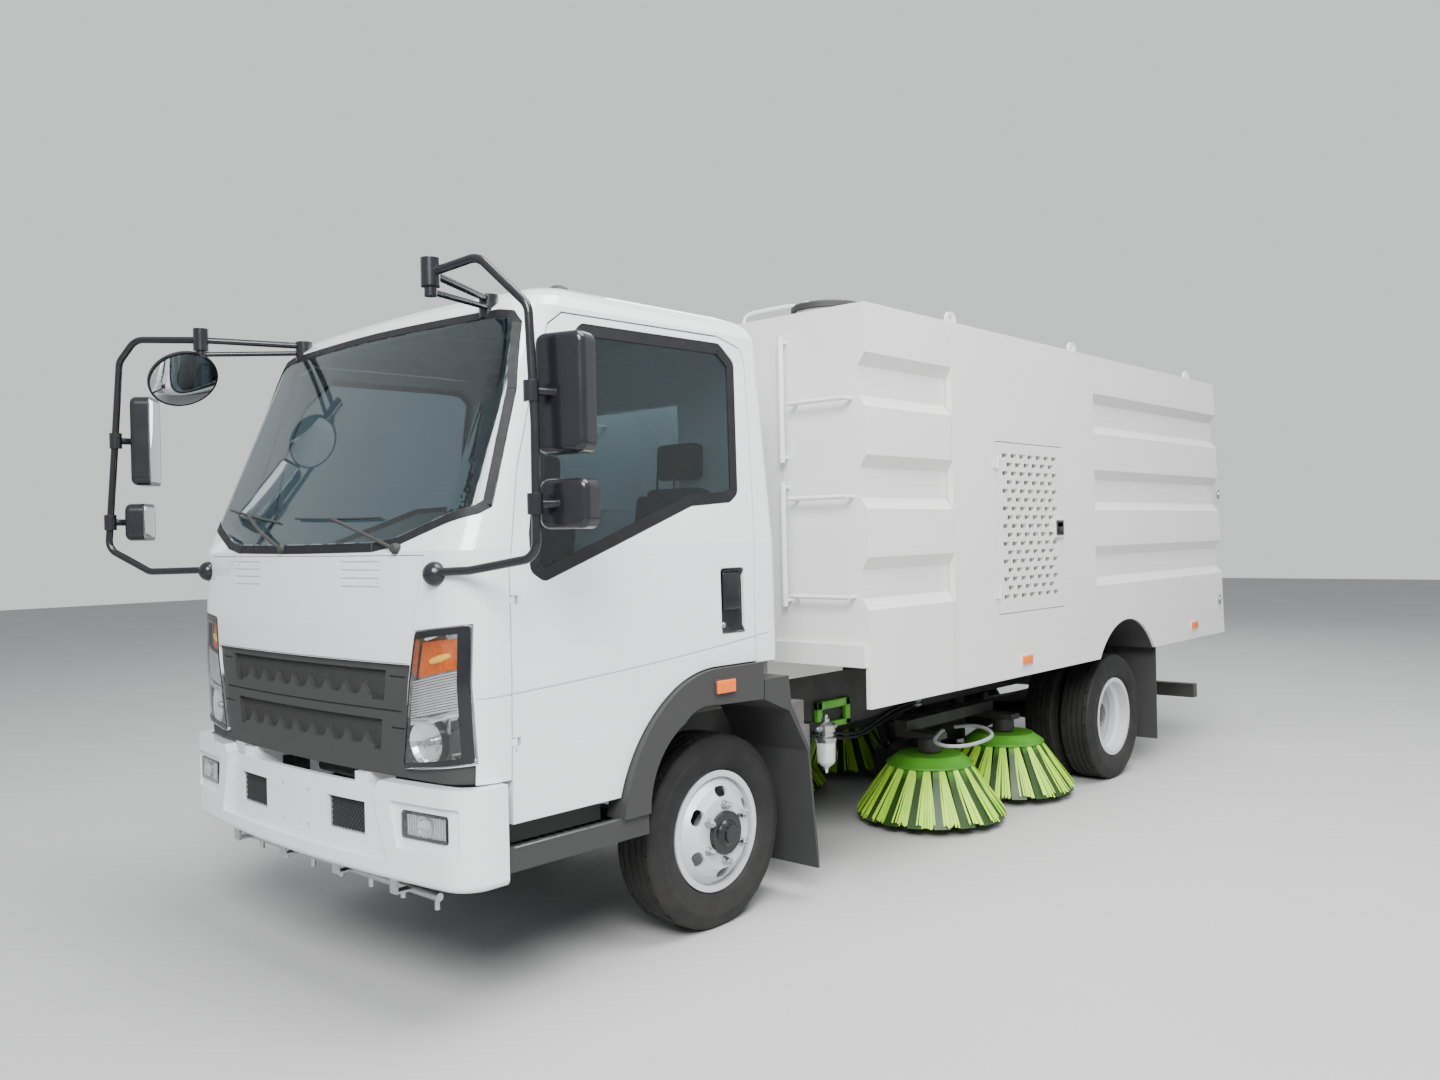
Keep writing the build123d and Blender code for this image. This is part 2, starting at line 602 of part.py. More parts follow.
for side in (-1, 1):
    for edge in (-1, 1):
        y = side * LIFT_Y + edge * 68
        frame += block(-4400, LIFT_X + 40, y - 8, y + 8, LIFT_Z - 40, LIFT_Z + 90)
frame += rod_y(20, -300, 300, LIFT_X, LIFT_Z)
frame += rod_y(20, -RAIL_OUTER + 30, RAIL_OUTER - 30, TIP_X, TIP_Z)
for side in (-1, 1):
    for x in (-2150, -2630):
        frame += rod_x(12, x - 55, x + 55, side * BRUSH_ARM_Y, BRUSH_ARM_Z)
        for end in (-1, 1):
            frame += block(x + end * 48 - 6, x + end * 48 + 6, side * 318 - 38, side * 318 + 38,
                           BRUSH_ARM_Z - 25, RAIL_BOTTOM + 4)
frame += rod_y(12, -165, 165, NOZZLE_X, NOZZLE_Z)
for y in (-156, 156):
    frame += side_plate(outline([
        (NOZZLE_X - 22, NOZZLE_Z - 20), (NOZZLE_X + 22, NOZZLE_Z - 20), (-2370, 600), (-2410, 600)]), y - 5, y + 5)
frame += rod_y(PIVOT_RADIUS, -RAIL_OUTER + RAIL_WEB, RAIL_OUTER - RAIL_WEB, CAB_TILT_X, CAB_TILT_Z)
for side in (-1, 1):
    y = side * (RAIL_OUTER - RAIL_FLANGE / 2)
    frame += block(-270, -230, y - RAIL_FLANGE / 2, y + RAIL_FLANGE / 2, RAIL_TOP, ARCH_TOP - REST_GAP)
frame += block(-270, -230, -RAIL_OUTER, RAIL_OUTER, ARCH_TOP - REST_GAP - 54, ARCH_TOP - REST_GAP)
write("chassis_frame", frame)

# Engines as plain blocks
engine = block(-620, 280, -285, 285, 440, 940)
for x in (-540, 180):
    engine += block(x - 25, x + 25, -RAIL_OUTER + RAIL_WEB, RAIL_OUTER - RAIL_WEB, 640, 680)
aux = block(-2560, -1850, -420, 420, RAIL_TOP + SUBFRAME_HEIGHT, 1650)
write("engine_blocks", Part() + [engine, aux])

# Axles
front_axle = block(-45, 45, -500, 500, 300, 375)
for side in (-1, 1):
    front_axle += block(-40, 40, side * 570 - 110, side * 570 + 110, 336, 400)
    front_axle += rod_z(42, 335, 435, 0, side * KINGPIN_Y)
front_axle -= Part() + [rod_z(20, 300, 470, 0, KINGPIN_Y), rod_z(20, 300, 470, 0, -KINGPIN_Y)]
write("front_axle", front_axle)

AXLE_Z = TYRE_RADIUS
rear_axle = rod_y(62, -620, 620, -WHEELBASE, AXLE_Z)
rear_axle += Pos(-WHEELBASE, 0, AXLE_Z) * Sphere(165)
rear_axle += rod_x(70, -WHEELBASE, -WHEELBASE + 260, 0, AXLE_Z + 20)
for side in (-1, 1):
    rear_axle += rod_y(38, side * 700 - 90, side * 700 + 90, -WHEELBASE, AXLE_Z)
rear_axle += bar((-WHEELBASE + 255, 0, AXLE_Z + 20), (-670, 0, 520), 42)
rear_axle += rod_x(62, -690, -620, 0, 520)
write("rear_axle", rear_axle)


def leaf_pack(x_centre, z_centre, reach, rise, leaves):
    """Stack of curved leaves with eyes and hangers."""
    pack = Part()
    for number in range(leaves):
        half = reach * (1 - 0.16 * number)
        lift = rise * (half / reach) ** 2
        z = z_centre - number * 11
        top = ThreePointArc((x_centre - half, z + lift), (x_centre, z), (x_centre + half, z + lift))
        low = ThreePointArc((x_centre - half, z + lift - 11), (x_centre, z - 11), (x_centre + half, z + lift - 11))
        face = make_face(top + Line(top @ 1, low @ 1) + low + Line(low @ 0, top @ 0))
        pack += side_plate(face, SPRING_Y - SPRING_WIDTH / 2, SPRING_Y + SPRING_WIDTH / 2)
    for end in (-1, 1):
        x = x_centre + end * reach
        z = z_centre + rise
        pack += rod_y(26, SPRING_Y - 42, SPRING_Y + 42, x, z)
        pack += block(x - 30, x + 30, SPRING_Y + 34, SPRING_Y + 42, z - 26, RAIL_BOTTOM)
        pack += block(x - 30, x + 30, SPRING_Y - 42, SPRING_Y - 34, z - 26, RAIL_BOTTOM)
    return pack


front_spring = leaf_pack(0, 430, 560, 60, 4)
front_spring += block(-60, 60, SPRING_Y - 45, SPRING_Y + 45, 375, 392)
rear_spring = leaf_pack(-WHEELBASE, 505, 620, 20, 4)
rear_spring -= rod_y(62, -620, 620, -WHEELBASE, AXLE_Z)
rear_spring += block(-WHEELBASE - 60, -WHEELBASE + 60, SPRING_Y - 45, SPRING_Y + 45, 430, 465) - rod_y(
    62, -620, 620, -WHEELBASE, AXLE_Z)
write("leaf_springs", Part() + [
    front_spring, other_side(front_spring), rear_spring, other_side(rear_spring)])

# Knuckles
for side_name, side in (("left", 1), ("right", -1)):
    upright = rod_z(20 - FIT, 300, 470, 0, side * KINGPIN_Y)
    upright += rod_z(46, 441, 475, 0, side * KINGPIN_Y) + rod_z(46, 290, 329, 0, side * KINGPIN_Y)
    web = block(-40, 40, side * (KINGPIN_Y + 62) - 12, side * (KINGPIN_Y + 62) + 12, 290, 475)
    web += block(-40, 40, side * (KINGPIN_Y + 30) - 34, side * (KINGPIN_Y + 30) + 34, 441, 475)
    web += block(-40, 40, side * (KINGPIN_Y + 30) - 34, side * (KINGPIN_Y + 30) + 34, 290, 329)
    knuckle = upright + web
    knuckle += rod_y(30, side * (KINGPIN_Y + 105) - 55, side * (KINGPIN_Y + 105) + 55, 0, AXLE_Z)
    write(f"knuckle_{side_name}", knuckle)

# Wheels
def tyre():
    """Tyre about Y, hollow above the rim."""
    half = TYRE_WIDTH / 2
    r = TYRE_RADIUS
    side = BEAD_HALF_WIDTH + 2.6
    lip = RIM_FLANGE_RADIUS + 3
    outer = Polyline((BEAD_RADIUS, -BEAD_HALF_WIDTH), (lip, -side))
    outer += ThreePointArc((lip, -side), (300, -half), (r - 14, -TYRE_SHOULDER - 8))
    outer += Polyline((r - 14, -TYRE_SHOULDER - 8), (r, -TYRE_SHOULDER + 8), (r, TYRE_SHOULDER - 8),
                      (r - 14, TYRE_SHOULDER + 8))
    outer += ThreePointArc((r - 14, TYRE_SHOULDER + 8), (300, half), (lip, side))
    outer += Polyline((lip, side), (BEAD_RADIUS, BEAD_HALF_WIDTH),
                      (BEAD_RADIUS, -BEAD_HALF_WIDTH))
    return revolve(make_face(outer), axis=Axis.Y)


def rim(disc_side, hub_radius):
    """Drop-centre rim and disc about Y; disc_side is the disc's place along the axle."""
    w = RIM_HALF_WIDTH
    t = RIM_THICKNESS
    b = BEAD_RADIUS
    f = RIM_FLANGE_RADIUS
    v = RIM_WELL_RADIUS
    points = [
        (f, -w), (f, -w + t), (b - 0.5, -w + t + 3), (b - 0.5, -48), (v + t, -30), (v + t, 18), (b - 0.5, 36),
        (b - 0.5, w - t - 3), (f, w - t), (f, w), (b - t, w), (b - t, 32), (v, 14), (v, -26), (b - t, -44),
        (b - t, -w),
    ]
    body = revolve(Polygon(*points, align=None), axis=Axis.Y)
    d = disc_side
    t2 = DISC_THICKNESS
    cone = 68.0 if d > 0 else 34.0
    s = 1 if d > 0 else -1
    reach = b - 5
    disc_points = [
        (62, d), (142, d), (178, d - s * cone * 0.35), (reach, d - s * cone), (reach, d - s * (cone + t2)),
        (172, d - s * (cone * 0.35 + t2)), (138, d - s * t2), (62, d - s * t2),
    ]
    disc = revolve(Polygon(*disc_points, align=None), axis=Axis.Y)
    for number in range(HAND_HOLES):
        hole = Rot(0, 30 + number * 360 / HAND_HOLES, 0) * Pos(160, d, 0) * Rot(90, 0, 0)
        disc -= hole * extrude(SlotOverall(66, 40, rotation=90), amount=70, both=True)
    body += disc
    return body


front_tyre = tyre()
front_rim = rim(FRONT_DISC, HUB_RADIUS)
front_hub = rod_y(70, 20, FRONT_DISC - 20, 0, 0) + rod_y(HUB_RADIUS, FRONT_DISC - 20, FRONT_DISC + 16, 0, 0)
front_hub += Pos(0, FRONT_DISC + 24, 0) * Rot(-90, 0, 0) * Cone(52, 38, 16) + rod_y(36, FRONT_DISC + 32, FRONT_DISC + 44, 0, 0)
front_hub -= rod_y(30 + FIT, 0, 60, 0, 0)
FRONT_RIM_Y = FRONT_TRACK / 2
for side_name, side in (("left", 1), ("right", -1)):
    place = Pos(0, side * FRONT_RIM_Y, AXLE_Z) * Rot(0, 0, 0 if side > 0 else 180)
    write(f"tyre_front_{side_name}", place * front_tyre)
    write(f"rim_front_{side_name}", place * (front_rim + front_hub))
twin_rim = rim(-DISC_OFFSET, HUB_RADIUS)
for side_name, side in (("left", 1), ("right", -1)):
    turn = Rot(0, 0, 0 if side > 0 else 180)
    middle = Pos(-WHEELBASE, side * REAR_TRACK / 2, AXLE_Z) * turn
    outer_place = middle * Pos(0, TWIN_SPACING / 2, 0)
    inner_place = middle * Pos(0, -TWIN_SPACING / 2, 0)
    write(f"tyres_rear_{side_name}", Part() + [outer_place * front_tyre, inner_place * front_tyre])
    twin = Pos(0, TWIN_SPACING / 2, 0) * twin_rim
    twin += Pos(0, -TWIN_SPACING / 2, 0) * Rot(0, 0, 180) * twin_rim
    twin += rod_y(95, -60, 60, 0, 0) + rod_y(72, 60, 116, 0, 0)
    twin -= rod_y(38 + FIT, -61, 50, 0, 0)
    write(f"rims_rear_{side_name}", middle * twin)

# Ribs pressed into the body's sides: (top, bottom) heights
RIBS = [(2350.0, 2113.0), (1898.0, 1660.0), (1446.0, 1212.0)]


def rib_cuts(x0, x1):
    """Trapezoid recesses on both sides."""
    cuts = []
    for top, bottom in RIBS:
        trapezoid = outline([
            (BODY_HALF + 5, top + 8), (BODY_HALF, top), (BODY_HALF - RIB_DEPTH, top - RIB_UPPER_BEVEL),
            (BODY_HALF - RIB_DEPTH, bottom + RIB_LOWER_BEVEL), (BODY_HALF, bottom), (BODY_HALF + 5, bottom - 8)])
        cut = front_plate(trapezoid, x0, x1)
        cuts += [cut, other_side(cut)]
    return cuts


# Water tank ahead of the seam
tank = block(SEAM_X + SEAM_GAP, TANK_FRONT, -BODY_HALF, BODY_HALF, TANK_BOTTOM, BODY_TOP)
tank += both(block(SEAM_X + SEAM_GAP, TANK_FRONT, BODY_HALF - 24, BODY_HALF, SKIRT_BOTTOM, TANK_BOTTOM))
tank += block(SEAM_X + 40, TANK_FRONT - 80, -RAIL_OUTER, RAIL_OUTER, RAIL_TOP + SUBFRAME_HEIGHT, TANK_BOTTOM)
for cut in rib_cuts(SEAM_X - 10, TANK_FRONT + 10):
    tank -= cut
tank += both(block(TANK_FRONT, TANK_FRONT + 30, 500, 1018, TANK_BOTTOM, TANK_BOTTOM + 100))
for z in (2150, 1715, 1270):
    for y in (650, 955):
        tank += both(rod_x(9, TANK_FRONT, TANK_FRONT + 60, y, z))
    tank += both(rod_y(10, 640, 965, TANK_FRONT + 60, z))
tank += rod_z(150, BODY_TOP, BODY_TOP + 18, -1000, 700)
tank += block(LID_HINGE_X - 12, LID_HINGE_X + 4, 679, 721, BODY_TOP, LID_HINGE_Z)
tank += rod_y(LID_BARREL, 679, 721, LID_HINGE_X, LID_HINGE_Z)
tank += rod_y(LID_PIN, 660, 740, LID_HINGE_X, LID_HINGE_Z)
write("water_tank", tank)

gauges = Part()
for z0, z1 in ((1885, 2466), (1223, 1797)):
    tube_piece = rod_z(14, z0, z1, TANK_FRONT + 40, 590)
    for z in (z0 + 25, z1 - 25):
        tube_piece += rod_x(10, TANK_FRONT, TANK_FRONT + 40, 590, z)
    gauges += [tube_piece]
write("level_gauges", gauges)

lid = rod_z(165, BODY_TOP + 18.3, BODY_TOP + 48, -1000, 700)
lid += block(-1176, -1150, 660, 740, BODY_TOP + 20, BODY_TOP + 30)
lid += rod_y(LID_BARREL, 660, 740, LID_HINGE_X, LID_HINGE_Z)
lid -= block(-1190, -1164.5, 678, 722, BODY_TOP, BODY_TOP + 44)
lid -= rod_y(LID_PIN + FIT, 640, 760, LID_HINGE_X, LID_HINGE_Z)
write("tank_lid", lid)

# Hopper
def rear_line(z):
    """Rear face of the body at a height."""
    return REAR_TOP_X + (REAR_BOTTOM_X - REAR_TOP_X) * (BODY_TOP - z) / (BODY_TOP - SKIRT_BOTTOM)


def hopper_side(x0, shift, z0, z1):
    """Side view from a front plane to the leaning rear plane."""
    return outline([(x0, z0), (x0, z1), (rear_line(z1) + shift, z1), (rear_line(z0) + shift, z0)])


hopper = side_plate(hopper_side(SEAM_X, REAR_DOOR_THICK, SKIRT_BOTTOM, BODY_TOP), -BODY_HALF, BODY_HALF)
bin_space = side_plate(outline([
    (PARTITION_X - BODY_WALL, HOPPER_FLOOR + 60), (PARTITION_X - BODY_WALL, BODY_TOP - 50),
    (rear_line(BODY_TOP - 50) - 100, BODY_TOP - 50), (rear_line(HOPPER_FLOOR) - 100, HOPPER_FLOOR + 60)]),
    -BODY_HALF + BODY_WALL, BODY_HALF - BODY_WALL)
bay = block(PARTITION_X, SEAM_X - BODY_WALL, -BODY_HALF + BODY_WALL, BODY_HALF - BODY_WALL, 700, 2100)
under = block(-5500, PARTITION_X + 1, -BODY_HALF + 24, BODY_HALF - 24, 700, HOPPER_FLOOR)
arch = rod_y(ARCH_RADIUS, -1200, 1200, ARCH_X, ARCH_Z)
arch_box = rod_y(ARCH_RADIUS + 30, -BODY_HALF, BODY_HALF, ARCH_X, ARCH_Z)
under += block(PARTITION_X, SEAM_X + 1, -BODY_HALF + 24, BODY_HALF - 24, 700, HOPPER_FLOOR)
hopper = hopper - bin_space - bay - under
hopper += (arch_box - rod_y(ARCH_RADIUS, -1200, 1200, ARCH_X, ARCH_Z)) & (
    block(-4200, -3000, 470, BODY_HALF, SKIRT_BOTTOM + 10, 1100)
    + block(-4200, -3000, -BODY_HALF, -470, SKIRT_BOTTOM + 10, 1100))
hopper -= arch & block(-4300, -3000, 470, 1200, 300, 1100)
hopper -= arch & block(-4300, -3000, -1200, -470, 300, 1100)
for cut in rib_cuts(-5600, RIB_START_X):
    hopper -= cut
for side in (-1, 1):
    hopper -= block(DOOR2_REAR - 4, DOOR2_FRONT + 4, side * 1000 - 60, side * 1000 + 60, DOOR2_BOTTOM - 4, DOOR2_TOP + 4)
for side in (-1, 1):
    for edge in (-1, 1):
        y = side * LIFT_Y + edge * 47
        hopper += block(EYE_X - 60, EYE_X + 60, y - 8, y + 8, EYE_Z - 50, HOPPER_FLOOR + 5)
    y = side * 255
    hopper += block(TIP_X - 45, TIP_X + 45, y - 20, y + 20, TIP_Z - 40, HOPPER_FLOOR + 5)
eye_plates = {}
for side in (-1, 1):
    plates = Part()
    for x in EYE_PLATES:
        eye = block(x - 45, x + 45, side * 990 - 8, side * 990 + 8, BODY_TOP - 2, BODY_TOP + 62)
        eye = fillet(eye.edges().filter_by(Axis.Y).group_by(Axis.Z)[-1], 40)
        eye -= rod_y(18, side * 990 - 20, side * 990 + 20, x, BODY_TOP + 32)
        plates += [eye]
    eye_plates[side] = plates
hopper -= rod_y(20 + FIT, -400, 400, TIP_X, TIP_Z)
hopper -= rod_x(DUCT_RADIUS - 10, PARTITION_X - BODY_WALL - 20, PARTITION_X + 20, DUCT_Y, DUCT_Z)
for side in (-1, 1):
    y = side * (BODY_HALF + 2)
    for z in HATCH_HINGES:
        hopper += block(HATCH_HINGE_X + 3, HATCH_HINGE_X + 40, y - 2, y + 2, z - 30, z - 0.5)
        hopper += rod_z(HINGE_BARREL, z - 30, z - 0.5, HATCH_HINGE_X, side * HATCH_HINGE_Y)
        hopper += rod_z(HINGE_PIN, z - 30, z + 30, HATCH_HINGE_X, side * HATCH_HINGE_Y)
for y in TAIL_HINGES:
    hopper += block(TAIL_HINGE_X + 4, TAIL_HINGE_X + 60, y - 60, y - 0.5, BODY_TOP, BODY_TOP + 8)
    hopper += rod_y(TAIL_BARREL, y - 60, y - 0.5, TAIL_HINGE_X, TAIL_HINGE_Z)
    hopper += rod_y(TAIL_PIN, y - 60, y + 60, TAIL_HINGE_X, TAIL_HINGE_Z)
lower_rear = side_plate(outline([
    (rear_line(SKIRT_BOTTOM), SKIRT_BOTTOM), (rear_line(HOPPER_FLOOR - 4), HOPPER_FLOOR - 4),
    (rear_line(HOPPER_FLOOR - 4) + 30, HOPPER_FLOOR - 4), (rear_line(SKIRT_BOTTOM) + 30, SKIRT_BOTTOM)]),
    -BODY_HALF, BODY_HALF)
cheek = side_plate(outline([
    (rear_line(SKIRT_BOTTOM), SKIRT_BOTTOM), (rear_line(HOPPER_FLOOR - 4), HOPPER_FLOOR - 4),
    (rear_line(HOPPER_FLOOR - 4) + 110, HOPPER_FLOOR - 4), (rear_line(SKIRT_BOTTOM) + 110, SKIRT_BOTTOM)]),
    BODY_HALF - 24, BODY_HALF)
lower_rear += both(cheek)
shelf_x = rear_line(HOPPER_FLOOR - 4)
lower_rear += block(shelf_x + 25, shelf_x + 130, -BODY_HALF, BODY_HALF, 846, 874)
lower_rear += block(shelf_x + 78, shelf_x + 130, -BODY_HALF, BODY_HALF, 874, HOPPER_FLOOR + 2)
for side in (-1, 1):
    for y0, y1 in TAIL_LAMPS:
        pocket = block(-5400, rear_line(SKIRT_BOTTOM) + 17, *sorted((side * y0, side * y1)), 792, 860)
        lower_rear -= pocket
hopper += lower_rear
wall_y = BODY_HALF - BODY_WALL
walls = {}
for side_name, side in (("left", 1), ("right", -1)):
    area = block(-5400, SEAM_X + 1, *sorted((side * wall_y, side * (BODY_HALF + 40))), SKIRT_BOTTOM - 1, BODY_TOP)
    walls[f"hopper_side_{side_name}"] = (hopper & area) + eye_plates[side]
    hopper -= area
roof_area = block(-5400, PARTITION_X - BODY_WALL, -wall_y, wall_y, BODY_TOP - 50, BODY_TOP + 60)
walls["hopper_roof"] = hopper & roof_area
hopper -= roof_area
for name, wall in walls.items():
    write(name, wall)
write("hopper_shell", hopper)

rear_side = outline([
    (rear_line(BODY_TOP) + REAR_DOOR_THICK - 4, BODY_TOP), (rear_line(BODY_TOP), BODY_TOP),
    (rear_line(HOPPER_FLOOR), HOPPER_FLOOR), (rear_line(HOPPER_FLOOR) + REAR_DOOR_THICK - 4, HOPPER_FLOOR)])
rear_door = side_plate(rear_side, -BODY_HALF, BODY_HALF)
for cut in rib_cuts(-5600, RIB_START_X):
    rear_door -= cut
for y in TAIL_HINGES:
    rear_door += block(TAIL_HINGE_X - 60, TAIL_HINGE_X - 4, y + 0.5, y + 60, BODY_TOP, BODY_TOP + 8)
    rear_door += rod_y(TAIL_BARREL, y + 0.5, y + 60, TAIL_HINGE_X, TAIL_HINGE_Z)
    rear_door -= rod_y(TAIL_PIN + FIT, y, y + 61, TAIL_HINGE_X, TAIL_HINGE_Z)
write("rear_door", rear_door)

panel = block(DOOR2_REAR, DOOR2_FRONT, BODY_HALF - DOOR2_THICK, BODY_HALF, DOOR2_BOTTOM, DOOR2_TOP)
slots = []
mid_x = (DOOR2_REAR + DOOR2_FRONT) / 2
for row in range(SLOT_ROWS):
    count = 7 if row % 2 == 0 else 6
    z = 1941 - row * SLOT_ROW
    for number in range(count):
        x = mid_x + (number - (count - 1) / 2) * SLOT_PITCH
        slots.append(block(x - SLOT_LENGTH / 2, x + SLOT_LENGTH / 2, 990, 1040, z - SLOT_HEIGHT / 2, z + SLOT_HEIGHT / 2))
panel -= slots
panel += block(DOOR2_REAR + 8, DOOR2_REAR + 118, BODY_HALF, BODY_HALF + 12, 1506, 1616)
for z in HATCH_HINGES:
    panel += block(HATCH_HINGE_X - 40, HATCH_HINGE_X - 3, BODY_HALF, BODY_HALF + 4, z + 0.5, z + 30)
    panel += rod_z(HINGE_BARREL, z + 0.5, z + 30, HATCH_HINGE_X, HATCH_HINGE_Y)
    panel -= rod_z(HINGE_PIN + FIT, z, z + 31, HATCH_HINGE_X, HATCH_HINGE_Y)
write("engine_door_left", panel)
write("engine_door_right", other_side(panel))

# Mudguards, underrun bar, tanks
guards = Part()
flap = side_plate(outline([(-190, 972), (-190, 890), (-345, 826), (-462, 640), (-518, 135), (-530, 135),
                           (-476, 652), (-360, 850), (-345, 972)]), 560, 950)
flap += block(-262, -238, RAIL_OUTER, 570, 900, 930)
rear_flap = block(-4140, -4128, 560, 994, 165, 860) + block(-4128, -4098, RAIL_OUTER, 990, 800, 830)
guards += [flap, other_side(flap), rear_flap, other_side(rear_flap)]
write("mudguards", guards)

underrun = block(-5160, -5090, -890, 890, 312, 410)
for side in (-1, 1):
    underrun += block(-5150, -5100, side * 345 - 25, side * 345 + 25, 410, RAIL_BOTTOM + 60)
    underrun += block(-5150, -5040, side * 345 - 25, side * 345 + 25, RAIL_BOTTOM - 40, RAIL_BOTTOM)
write("underrun_bar", underrun)

fuel = block(-1480, -860, -860, -430, 430, 820)
fuel = fillet(fuel.edges().filter_by(Axis.X), 60)
for x in (-1380, -960):
    fuel += block(x - 25, x + 25, -440, -RAIL_OUTER, 590, 690)
write("fuel_tank", fuel)
gear = block(-760, -620, 420, 700, 560, 800) + rod_z(38, 545, 700, -690, 738)
gear += block(-720, -660, RAIL_OUTER, 425, 620, 700)
write("side_gear", gear)

# Brushes
def brush():
    """Dish with a ring of bristle tufts about Z."""
    dish_points = [
        (30, DISH_TOP_Z), (DISH_TOP_RADIUS, DISH_TOP_Z), (BRUSH_ROOT_RADIUS + 16, BRUSH_ROOT_Z),
        (BRUSH_ROOT_RADIUS + 16, BRUSH_ROOT_Z - 10), (BRUSH_ROOT_RADIUS - 40, BRUSH_ROOT_Z - 10),
        (DISH_TOP_RADIUS - 30, DISH_TOP_Z - 14), (30, DISH_TOP_Z - 14)]
    body = revolve(Plane.XZ * Polygon(*dish_points, align=None), axis=Axis.Z)
    return body


def tuft():
    """One flat fan of bristles, leaning outwards."""
    root = Pos(BRUSH_ROOT_RADIUS - 12, 0, BRUSH_ROOT_Z - 4) * Rectangle(22, 34)
    tip = Pos(BRUSH_TIP_RADIUS - 26, 0, BRUSH_TIP_Z) * Rectangle(46, 84)
    return loft([root, tip], ruled=True)


TUFTS = 18
one_brush = brush()
for number in range(TUFTS):
    one_brush += Rot(0, 0, number * 360 / TUFTS) * tuft()
for end_name, x in (("front", BRUSH_FRONT_X), ("rear", BRUSH_REAR_X)):
    for side_name, side in (("left", 1), ("right", -1)):
        write(f"brush_{end_name}_{side_name}", Pos(x, side * BRUSH_Y, 0) * one_brush)

for side_name, side in (("left", 1), ("right", -1)):
    arm = block(BRUSH_REAR_X - 60, BRUSH_FRONT_X + 60, 420, 500, 470, 530)
    for x in (BRUSH_FRONT_X, BRUSH_REAR_X):
        arm += block(x - 50, x + 50, 420, 680, 440, 472)
        arm += rod_z(62, 372, 440, x, BRUSH_Y)
        arm += rod_z(29, 340, 372, x, BRUSH_Y)
    for x in (-2150, -2630):
        arm += block(x - 35, x + 35, 300, 425, 500, 530)
        arm += rod_x(26, x - 35, x + 35, BRUSH_ARM_Y, BRUSH_ARM_Z)
        arm -= rod_x(12 + FIT, x - 40, x + 40, BRUSH_ARM_Y, BRUSH_ARM_Z)
    if side < 0:
        arm = other_side(arm)
    write(f"brush_arm_{side_name}", arm)

# Suction nozzle
nozzle = block(-3060, -2600, -185, 185, 45, 210) - block(-3040, -2620, -165, 165, 40, 190)
nozzle += block(-2930, -2722, 150, 263, 160, 210) - block(-2920, -2732, 150, 253, 150, 200)
nozzle += rod_z(SPIGOT_RADIUS, 200, 300, DUCT_X + SPIGOT_SHIFT, DUCT_Y)
nozzle -= rod_z(SPIGOT_RADIUS - 6, 150, 310, DUCT_X + SPIGOT_SHIFT, DUCT_Y)
for y in (-120, 120):
    nozzle += side_plate(outline([
        (-2660, 200), (-2610, 200), (NOZZLE_X + 18, NOZZLE_Z - 12), (NOZZLE_X - 18, NOZZLE_Z + 12)]), y - 10, y + 10)
    nozzle += rod_y(28, y - 22, y + 22, NOZZLE_X, NOZZLE_Z)
    nozzle -= rod_y(12 + FIT, y - 30, y + 30, NOZZLE_X, NOZZLE_Z)
write("suction_nozzle", nozzle)

duct = rod_z(DUCT_RADIUS, 282, DUCT_Z, DUCT_X, DUCT_Y) + Pos(DUCT_X, DUCT_Y, DUCT_Z) * Sphere(DUCT_RADIUS)
duct += rod_x(DUCT_RADIUS, PARTITION_X + 4, DUCT_X, DUCT_Y, DUCT_Z)
duct -= rod_z(DUCT_BORE, 281, DUCT_Z, DUCT_X, DUCT_Y)
duct -= Pos(DUCT_X, DUCT_Y, DUCT_Z) * Sphere(DUCT_BORE)
duct -= rod_x(DUCT_BORE, PARTITION_X, DUCT_X, DUCT_Y, DUCT_Z)
duct += block(DUCT_X - 30, DUCT_X + 30, DUCT_Y + DUCT_RADIUS - 6, RAIL_OUTER - RAIL_WEB, 640, 700)
write("suction_duct", duct)

# Lift cylinders
lift_length = hypot(EYE_X - LIFT_X, EYE_Z - LIFT_Z)
lift_angle = degrees(atan2(EYE_Z - LIFT_Z, EYE_X - LIFT_X))
barrel = rod_x(BARREL_RADIUS, 60, lift_length - 120, 0, 0) - rod_x(BORE_RADIUS, 75, lift_length - 160, 0, 0)
barrel -= rod_x(ROD_RADIUS + FIT, lift_length - 165, lift_length - 110, 0, 0)
barrel += rod_y(42, -30, 30, 0, 0) + block(0, 62, -25, 25, -35, 35)
barrel -= rod_y(20 + FIT, -40, 40, 0, 0)
ram = rod_x(ROD_RADIUS, 110, lift_length, 0, 0) + rod_x(BORE_RADIUS - FIT, 80, 112, 0, 0)
ram += rod_y(38, -28, 28, lift_length, 0)
barrels = []
rods = []
for side in (-1, 1):
    place = Pos(LIFT_X, side * LIFT_Y, LIFT_Z) * Rot(0, -lift_angle, 0)
    barrels.append(place * barrel)
    rods.append(place * ram)
write("lift_barrels", Part() + barrels)
write("lift_rods", Part() + rods)
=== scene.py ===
"""Street sweeper truck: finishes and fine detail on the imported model."""

import logging
import math
import random
from collections.abc import Callable, Iterator, Sequence
from contextlib import contextmanager
from dataclasses import dataclass, field
from enum import Enum

import bpy
from mathutils import Matrix, Vector

